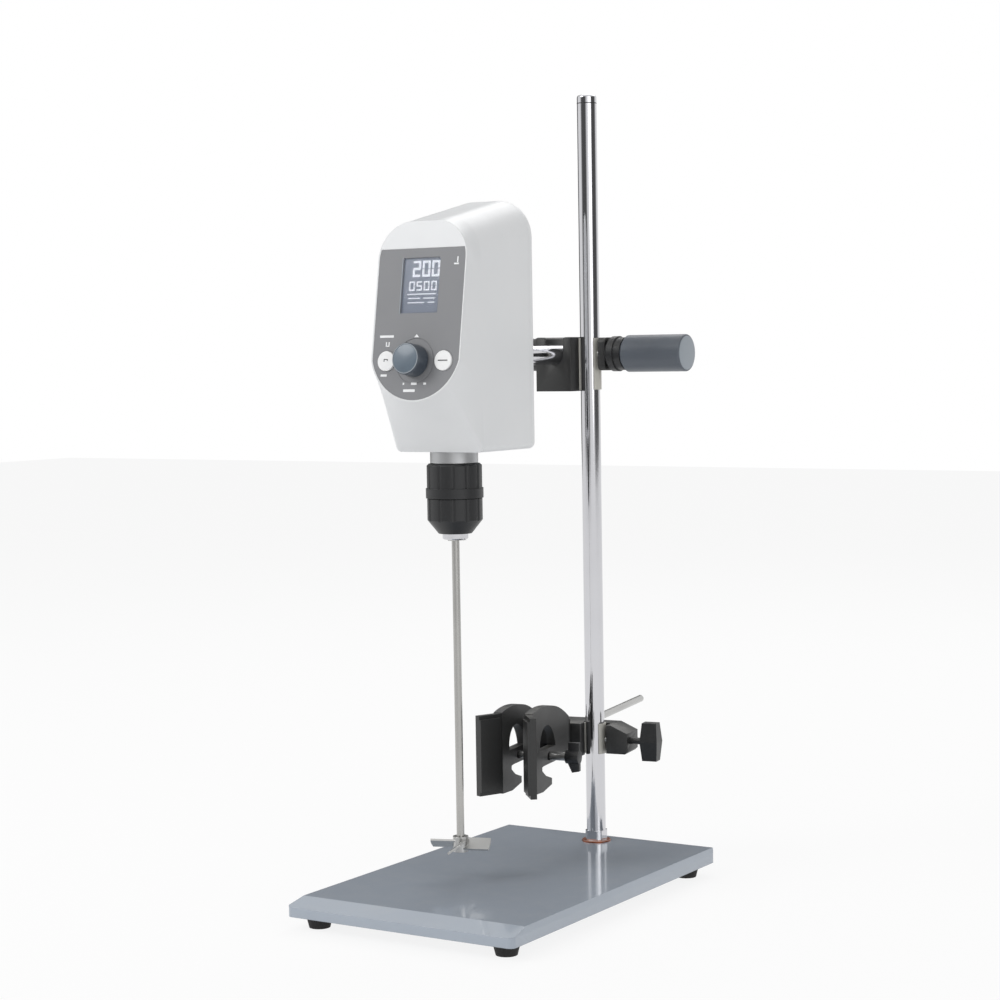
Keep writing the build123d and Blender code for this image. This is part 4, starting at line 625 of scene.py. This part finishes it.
@dataclass
class Layout:
    """The sloping face, and frames that pieces are placed on."""

    lean: float = math.radians(8.9)
    chin: Point = (-22.2, -92.0, 394.3)

    def face(self, across: float, up: float, out: float = 0.0) -> Matrix:
        """A frame on the sloping face: x to the right, y up the face and z outwards.

        Args:
            across: millimetres right of the face's middle.
            up: millimetres up from the chin.
            out: millimetres out from the face.

        Returns:
            The frame.
        """
        right = Vector((1, 0, 0))
        upward = Vector((0, math.sin(self.lean), math.cos(self.lean)))
        outward = right.cross(upward)
        origin = (Vector(self.chin) + right * across + upward * up + outward * out) * MM
        return self.frame(origin, right, outward)

    @staticmethod
    def frame(origin: Vector, right: Vector, outward: Vector) -> Matrix:
        """A frame from its origin in metres, its x axis and its z axis.

        Args:
            origin: where it stands.
            right: its x axis.
            outward: its z axis.

        Returns:
            The frame.
        """
        outward = outward.normalized()
        right = (right - outward * right.dot(outward)).normalized()
        upward = outward.cross(right)
        turn = Matrix((right, upward, outward)).transposed().to_4x4()
        return Matrix.Translation(origin) @ turn


@dataclass
class Studio:
    """Camera, lamps, floor and background.

    The lamps are written as name, place, width and power, in metres and watts.
    """

    LAMPS: ClassVar[Tuple[Tuple[str, Point, float, float], ...]] = (
        ("key", (-1.3, -1.7, 1.7), 1.3, 22.0),
        ("fill", (1.9, -0.9, 1.0), 1.5, 7.0),
        ("back", (-0.4, 1.6, 1.9), 1.4, 12.0),
    )

    eye: Point = (0.9437, -1.5074, 0.4299)
    yaw: float = math.radians(-32.156)
    pitch: float = math.radians(3.678)
    roll: float = math.radians(-0.911)
    lens: float = 82.525
    sensor: float = 36.0
    far_clip: float = 60.0
    floor_size: float = 12.0
    floor_drop: float = 0.0002
    floor_glow: float = 0.86
    paper: float = 0.86
    band_count: float = 3.0
    band_turn: float = 0.9
    band_from: float = -0.35
    band_to: float = 0.55
    band_dark: float = 0.1
    ceiling_from: float = 0.25
    ceiling_to: float = 0.7
    soft_level: float = 0.6
    mirrored_level: float = 0.95
    aim: Point = (0.0, 0.0, 0.3)

    def build(self) -> None:
        """Sets up the whole studio."""
        self.camera()
        self.world()
        self.floor()
        self.lamps()
        bpy.context.scene.view_settings.view_transform = "Standard"

    def camera(self) -> None:
        """The camera at the photograph's viewing angle."""
        view = Vector((math.sin(self.yaw) * math.cos(self.pitch), math.cos(self.yaw) * math.cos(self.pitch),
                       -math.sin(self.pitch)))
        right = Vector((math.cos(self.yaw), -math.sin(self.yaw), 0))
        up = right.cross(view)
        turned_right = right * math.cos(self.roll) + up * math.sin(self.roll)
        turned_up = up * math.cos(self.roll) - right * math.sin(self.roll)
        data = bpy.data.cameras.new("camera")
        data.lens = self.lens
        data.sensor_width = self.sensor
        data.clip_end = self.far_clip
        camera = bpy.data.objects.new("camera", data)
        bpy.context.scene.collection.objects.link(camera)
        turn = Matrix((turned_right, turned_up, -view)).transposed().to_4x4()
        camera.matrix_world = Matrix.Translation(Vector(self.eye)) @ turn
        bpy.context.scene.camera = camera

    def world(self) -> None:
        """A white background, and soft grey bands round the horizon for the metal to reflect."""
        world = bpy.data.worlds.new("studio")
        bpy.context.scene.world = world
        world.use_nodes = True
        world.node_tree.nodes.clear()
        tree = Tree(world.node_tree)
        direction = tree.add("ShaderNodeTexCoord").outputs["Generated"]
        split = tree.add("ShaderNodeSeparateXYZ", Vector=direction)
        angle = tree.math("ARCTAN2", split.outputs["X"], split.outputs["Y"])
        wave = tree.math("SINE", tree.math("MULTIPLY_ADD", angle, self.band_count, self.band_turn))
        bands = tree.add("ShaderNodeMapRange", Value=wave, From_Min=self.band_from, From_Max=self.band_to,
                         To_Min=self.band_dark, To_Max=1.0)
        ceiling = tree.add("ShaderNodeMapRange", Value=split.outputs["Z"], From_Min=self.ceiling_from,
                           From_Max=self.ceiling_to)
        level = tree.math("MAXIMUM", bands.outputs[0], ceiling.outputs[0])
        path = tree.add("ShaderNodeLightPath")
        plain = tree.math("SUBTRACT", 1.0, path.outputs["Is Glossy Ray"])
        soft = tree.math("MULTIPLY", plain, self.soft_level)
        mirrored = tree.math("MULTIPLY", level, path.outputs["Is Glossy Ray"])
        glossy = tree.math("MULTIPLY_ADD", mirrored, self.mirrored_level, soft)
        strength = tree.math("MAXIMUM", glossy, path.outputs["Is Camera Ray"])
        strength = tree.math("MAXIMUM", strength, path.outputs["Is Transmission Ray"])
        back = tree.add("ShaderNodeBackground", Color=WHITE, Strength=strength)
        tree.add("ShaderNodeOutputWorld", Surface=back.outputs[0])

    def floor(self) -> None:
        """A pale floor that keeps the shadow."""
        Shaper.clear()
        bpy.ops.mesh.primitive_plane_add(size=self.floor_size, location=(0, 0, -self.floor_drop))
        floor = bpy.context.active_object
        floor.name = "floor"
        material = bpy.data.materials.new("floor_paper")
        material.use_nodes = True
        material.node_tree.nodes.clear()
        tree = Tree(material.node_tree)
        paper = tree.add("ShaderNodeBsdfDiffuse", Color=(self.paper, self.paper, self.paper, 1.0))
        glow = tree.add("ShaderNodeEmission", Color=WHITE, Strength=1.0)
        path = tree.add("ShaderNodeLightPath")
        seen = tree.math("MAXIMUM", path.outputs["Is Camera Ray"], path.outputs["Is Glossy Ray"])
        share = tree.math("MULTIPLY", seen, self.floor_glow)
        mixed = tree.add("ShaderNodeMixShader", at_0=share, at_1=paper.outputs[0], at_2=glow.outputs[0])
        tree.add("ShaderNodeOutputMaterial", Surface=mixed.outputs[0])
        floor.data.materials.append(material)

    def lamps(self) -> None:
        """Three large soft lamps."""
        for name, place, size, power in self.LAMPS:
            data = bpy.data.lights.new(name, "AREA")
            data.shape = "DISK"
            data.size = size
            data.energy = power
            lamp = bpy.data.objects.new(name, data)
            bpy.context.scene.collection.objects.link(lamp)
            turn = (Vector(self.aim) - Vector(place)).to_track_quat("-Z", "Y").to_matrix().to_4x4()
            lamp.matrix_world = Matrix.Translation(Vector(place)) @ turn


NODE_FINISH: Dict[str, str] = {
    "base_plate": "plate_enamel", "plate_feet": "foot_rubber", "foot_screws": "turned_steel",
    "support_rod": "rod_chrome", "rod_cap": "rod_chrome", "rod_nut": "turned_steel",
    "rod_liner": "liner_nylon", "boss_casting": "black_enamel", "rod_pad": "turned_steel",
    "rod_screw": "black_plastic",
    "rod_handle": "handle_slate", "arm_pad": "turned_steel", "arm_screw": "black_plastic",
    "arm_handle": "handle_slate", "support_arm": "rod_chrome", "housing_shell": "shell_grey",
    "back_cover": "shell_grey", "cover_screws": "turned_steel", "control_panel": "panel_film",
    "display_window": "window_glass", "display_module": "module_grey", "control_board": "board_green",
    "speed_encoder": "turned_steel", "bearing_neck": "machined_aluminium", "head_frame": "machined_aluminium",
    "motor_bracket": "machined_aluminium", "motor_can": "turned_steel", "motor_stator": "core_steel",
    "ball_bearings": "turned_steel", "power_inlet": "black_plastic", "rocker_key": "black_plastic",
    "speed_knob": "knob_slate", "left_button": "key_white", "right_button": "key_white",
    "spindle": "turned_steel", "shaft_coupling": "machined_aluminium", "motor_rotor": "core_steel",
    "chuck_body": "rod_chrome", "chuck_rear_sleeve": "black_plastic", "chuck_front_sleeve": "black_plastic",
    "jaw_nut": "turned_steel", "chuck_jaw_1": "turned_steel", "chuck_jaw_2": "turned_steel",
    "chuck_jaw_3": "turned_steel", "stirring_shaft": "drawn_steel", "propeller": "turned_steel",
    "vessel_liner": "liner_nylon", "vessel_boss": "black_enamel", "vessel_rod_pad": "turned_steel",
    "vessel_rod_screw": "black_plastic", "vessel_arm_pad": "turned_steel",
    "vessel_arm_screw": "black_plastic", "vessel_arm": "turned_steel", "jaw_body": "black_enamel",
    "near_jaw": "black_enamel",
    "far_jaw": "black_enamel", "jaw_sleeve": "turned_steel", "jaw_bolt": "turned_steel",
    "wing_nut": "black_plastic", "far_nut": "turned_steel",
}


def note(piece: bpy.types.Object, body: str) -> None:
    """Hangs a finished piece on its body and reports it.

    Args:
        piece: the piece.
        body: the body that it moves with.
    """
    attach(piece, body)
    LOG.info("piece %s on %s, %d faces", piece.name, body, len(piece.data.polygons))


class Segment(Enum):
    """Which bars of a seven-bar digit each figure lights.

    The order is top, upper right, lower right, bottom, lower left, upper left and middle.
    """

    ZERO = (1, 1, 1, 1, 1, 1, 0)
    TWO = (1, 1, 0, 1, 1, 0, 1)
    FIVE = (1, 0, 1, 1, 0, 1, 1)


@dataclass(frozen=True)
class Readout:
    """A row of seven-bar figures on the screen, with its places and sizes in millimetres."""

    name: str
    figures: Tuple[Segment, ...]
    first: float
    step: float
    up: float
    wide: float
    high: float
    stroke: float


@dataclass
class FaceDetails:
    """What is printed, lit or fitted on the sloping face.

    The bars in the tables are written as across, up, width and height, in millimetres. The lines on
    the screen share one height, and BAR_SIGN has only a width and a height.
    """

    READOUTS: ClassVar[Tuple[Readout, ...]] = (
        Readout("speed_figure", (Segment.TWO, Segment.ZERO, Segment.ZERO), -5.2, 8.6, 100.8, 7.2, 12.4, 1.9),
        Readout("torque_figure", (Segment.ZERO, Segment.FIVE, Segment.ZERO, Segment.ZERO), -8.6, 6.6, 87.8,
                5.0, 7.2, 1.1),
    )
    LINES: ClassVar[Tuple[Line, ...]] = (
        (0.5, 81.6, 26.0), (-6.0, 78.4, 11.0), (7.5, 78.4, 10.0), (-4.0, 75.2, 15.0), (9.5, 75.2, 6.0),
    )
    POINTER: ClassVar[Tuple[Corner, ...]] = ((-2.2, 0), (2.2, 0), (0, 2.4))
    MARKS: ClassVar[Tuple[Bar, ...]] = (
        (-9.0, 13.6, 1.4, 1.6), (0.4, 13.6, 5.0, 1.7), (10.2, 13.6, 2.4, 1.6), (-3.6, 8.4, 10.4, 2.0),
        (-27.0, 49.6, 12.6, 1.8), (-27.0, 43.6, 1.0, 3.6), (-24.6, 43.6, 1.0, 3.6), (-25.8, 42.2, 3.2, 0.8),
        (-27.6, 20.0, 5.6, 1.7), (32.2, 106.6, 1.0, 4.4), (31.2, 103.4, 4.2, 1.2),
    )
    TURN_SIGN: ClassVar[Tuple[Bar, ...]] = ((0, 1.2, 3.4, 0.6), (-1.5, 0.3, 0.6, 1.8), (1.5, 0.6, 0.6, 1.2))
    BAR_SIGN: ClassVar[Tuple[float, float]] = (8.4, 0.8)

    layout: Layout
    finishes: Finishes
    window_up: float = 88.0
    window_w: float = 33.3
    window_h: float = 41.8
    screen_depth: float = 1.95
    controls_up: float = 30.8
    button_side: float = 25.7
    knob_top: float = 13.3
    knob_face_r: float = 10.6
    print_t: float = 0.12
    print_lift: float = 0.01
    lit_lift: float = 0.02
    level_share: float = 0.92
    upright_share: float = 0.9
    line_h: float = 0.8
    # The next two place a pale strip of painted highlight along the window's left edge.
    highlight_across: float = -17.1
    highlight_w: float = 0.7
    pointer_up: float = 48.6
    button_proud: float = 1.4

    def bar(self, name: str, across: float, up: float, wide: float, high: float,
            out: float) -> bpy.types.Object:
        """A thin printed or lit bar on the face.

        Args:
            name: its name.
            across, up: its centre on the face, in millimetres.
            wide, high: its size in millimetres.
            out: its lower side's height above the face in millimetres.

        Returns:
            The bar.
        """
        x, y = wide / 2, high / 2
        corners = ((-x, -y), (x, -y), (x, y), (-x, y))
        return Shaper.slab(name, corners, self.print_t, self.layout.face(across, up, out))

    def digit(self, row: Readout, index: int, out: float) -> bpy.types.Object:
        """A figure made of seven bars.

        Args:
            row: the row that it stands in.
            index: its place in the row, from 0.
            out: its height above the face.

        Returns:
            The digit.
        """
        name = f"{row.name}_{index}"
        middle = row.first + row.step * index
        half = row.high / 2
        side = row.wide / 2 - row.stroke / 2
        places = ((0, half - row.stroke / 2, True), (side, half / 2, False), (side, -half / 2, False),
                  (0, row.stroke / 2 - half, True), (-side, -half / 2, False), (-side, half / 2, False),
                  (0, 0, True))
        level_size = (row.wide * self.level_share, row.stroke)
        upright_size = (row.stroke, half * self.upright_share)
        bars = []
        for bar, (lit, (shift, rise, level)) in enumerate(zip(row.figures[index].value, places)):
            if lit:
                size = level_size if level else upright_size
                bars.append(self.bar(f"{name}_{bar}", middle + shift, row.up + rise, *size, out))
        return Shaper.merge(name, bars)

    def screen(self) -> None:
        """The lit screen behind the window, with its figures, and a pale strip of painted highlight along the
        window's left edge.
        """
        back = self.bar("screen_back", 0, self.window_up, self.window_w, self.window_h, -self.screen_depth)
        self.finishes.dress(back, "screen_back")
        note(back, "head")
        out = -self.screen_depth + self.print_t + self.lit_lift
        lit = [self.digit(row, index, out) for row in self.READOUTS for index in range(len(row.figures))]
        for index, (across, up, wide) in enumerate(self.LINES):
            lit.append(self.bar(f"screen_line_{index}", across, up, wide, self.line_h, out))
        figures = Shaper.merge("screen_figures", lit)
        self.finishes.dress(figures, "screen_digits")
        note(figures, "head")
        # A pale strip of painted highlight along the window's left edge, where the light catches it.
        edge = self.bar("window_edge", self.highlight_across, self.window_up, self.highlight_w, self.window_h,
                        self.print_lift)
        self.finishes.dress(edge, "painted_light_grey")
        note(edge, "head")

    def marks(self) -> None:
        """The printed marks round the knob and the buttons."""
        parts = [Shaper.slab("mark_pointer", self.POINTER, self.print_t,
                             self.layout.face(0, self.pointer_up, self.print_lift))]
        for index, place in enumerate(self.MARKS):
            parts.append(self.bar(f"mark_{index}", *place, self.print_lift))
        marks = Shaper.merge("panel_marks", parts)
        self.finishes.dress(marks, "mark_white")
        note(marks, "head")

    def knob(self) -> None:
        """A disc and a rim on the knob's face: the disc is the knob's slate made lighter as painted sheen,
        and the rim is a pale ring of painted highlight.
        """
        frame = self.layout.face(0, self.controls_up, self.knob_top)
        r = self.knob_face_r
        disc = Shaper.turned("knob_face", ((r, 0.0), (r, 0.15), (r - 0.5, 0.3), (0.3, 0.22)), frame)
        self.finishes.dress(disc, "knob_face_sheen")
        note(disc, "knob")
        edge = ((r + 0.75, 0.0), (r + 0.6, 0.36), (r + 0.1, 0.36), (r + 0.05, 0.0))
        rim = Shaper.turned("knob_rim", edge, frame, closed=False)
        self.finishes.dress(rim, "painted_light_grey")
        note(rim, "knob")

    def symbols(self) -> None:
        """A turn sign on the left button and a bar on the right one."""
        out = self.button_proud + self.print_lift
        left = []
        for index, (across, up, wide, high) in enumerate(self.TURN_SIGN):
            place = (across - self.button_side, up + self.controls_up)
            left.append(self.bar(f"left_symbol_{index}", *place, wide, high, out))
        sign = Shaper.merge("left_symbol", left)
        self.finishes.dress(sign, "mark_dark")
        note(sign, "left_key")
        bar = self.bar("right_symbol", self.button_side, self.controls_up, *self.BAR_SIGN, out)
        self.finishes.dress(bar, "mark_dark")
        note(bar, "right_key")

    def build(self) -> None:
        """Builds every detail of the face."""
        self.screen()
        self.marks()
        self.knob()
        self.symbols()


@dataclass
class StandDetails:
    """Small trims on the stand, and pale discs of painted light on the handles' end faces.

    Their outlines are written as radius and height of each ring, in millimetres.
    """

    WASHER: ClassVar[Tuple[Ring, ...]] = ((12.0, 0.02), (12.0, 1.0), (11.6, 1.26), (8.9, 1.26), (8.9, 0.02))
    TOP_LINE: ClassVar[Tuple[Ring, ...]] = ((8.12, 0.0), (8.12, 0.7), (7.9, 0.7), (7.9, 0.0))
    HANDLE_FACE: ClassVar[Tuple[Ring, ...]] = ((13.7, 0.0), (13.7, 0.12), (12.9, 0.3), (0.3, 0.24))

    finishes: Finishes
    rod_y: float = 136.7
    plate_top: float = 22.0
    arm_z: float = 427.5
    rod_handle_start: float = 34.66
    arm_handle_start: float = 33.36
    handle_len: float = 55.2
    arm_x: float = -22.2
    top_line_z: float = 632.0

    def ring(self, name: str, rings: Sequence[Ring], centre: Point, outward: Point, finish: str,
             body: str, closed: bool = False) -> None:
        """A turned trim on a body.

        Args:
            name: the piece's name.
            rings: radius and height of each ring in millimetres.
            centre: where its axis stands, in millimetres.
            outward: the axis.
            finish: its finish.
            body: the body that it rides on.
            closed: whether its ends are filled, as a disc's are.
        """
        side = Vector((0, 0, 1)) if abs(outward[2]) < 0.5 else Vector((1, 0, 0))
        piece = Shaper.turned(name, rings, Layout.frame(Vector(centre) * MM, side, Vector(outward)),
                              closed=closed)
        self.finishes.dress(piece, finish)
        note(piece, body)

    def build(self) -> None:
        """Builds the trims."""
        self.ring("foot_washer", self.WASHER, (0, self.rod_y, self.plate_top), (0, 0, 1),
                  "copper_washer", "stand")
        self.ring("rod_top_line", self.TOP_LINE, (0, self.rod_y, self.top_line_z), (0, 0, 1),
                  "black_plastic", "stand")
        # Each handle's end face gets a pale disc of painted light.
        for name, sign, x, start, body in (
            ("rod", 1, 0.0, self.rod_handle_start, "rod_screw_body"),
            ("arm", -1, self.arm_x, self.arm_handle_start, "arm_screw_body"),
        ):
            end = start + self.handle_len
            self.ring(f"{name}_handle_face", self.HANDLE_FACE, (x + sign * end, self.rod_y, self.arm_z),
                      (sign, 0, 0), "painted_light_grey", body, closed=True)


@dataclass
class Castings:
    """Bevelled copies of the cast and moulded pieces, which take the CAD nodes' places."""

    finishes: Finishes
    edge: float = 0.6
    segments: int = 2
    least_angle: float = 35.0
    smooth_angle: float = 40.0

    def build(self) -> None:
        """Copies each casting and rounds its edges."""
        for node, body, finish, slot in (
            ("boss_casting", "boss", "black_enamel", "black_casting"),
            ("vessel_boss", "clamp_boss", "black_enamel", "black_casting"),
            ("wing_nut", "wing_screw", "black_plastic", "black_plastic"),
        ):
            copy = Shaper.from_node(node, f"{node}_cast")
            Shaper.bevel(copy, self.edge, self.segments, self.least_angle)
            Shaper.smooth(copy, self.smooth_angle)
            self.finishes.dress(copy, finish)
            note(copy, body)
            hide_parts(node)


def main() -> None:
    """Builds the studio, dresses the frame and adds every piece."""
    logging.basicConfig(level=logging.INFO, format="%(name)s: %(message)s")
    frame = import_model()
    finishes = Finishes()
    Studio().build()
    for node, finish in NODE_FINISH.items():
        finishes.dress(frame["nodes"][node], finish)
        LOG.info("node %s in %s", node, finish)
    FaceDetails(Layout(), finishes).build()
    StandDetails(finishes).build()
    Castings(finishes).build()


if __name__ == "__main__":
    main()
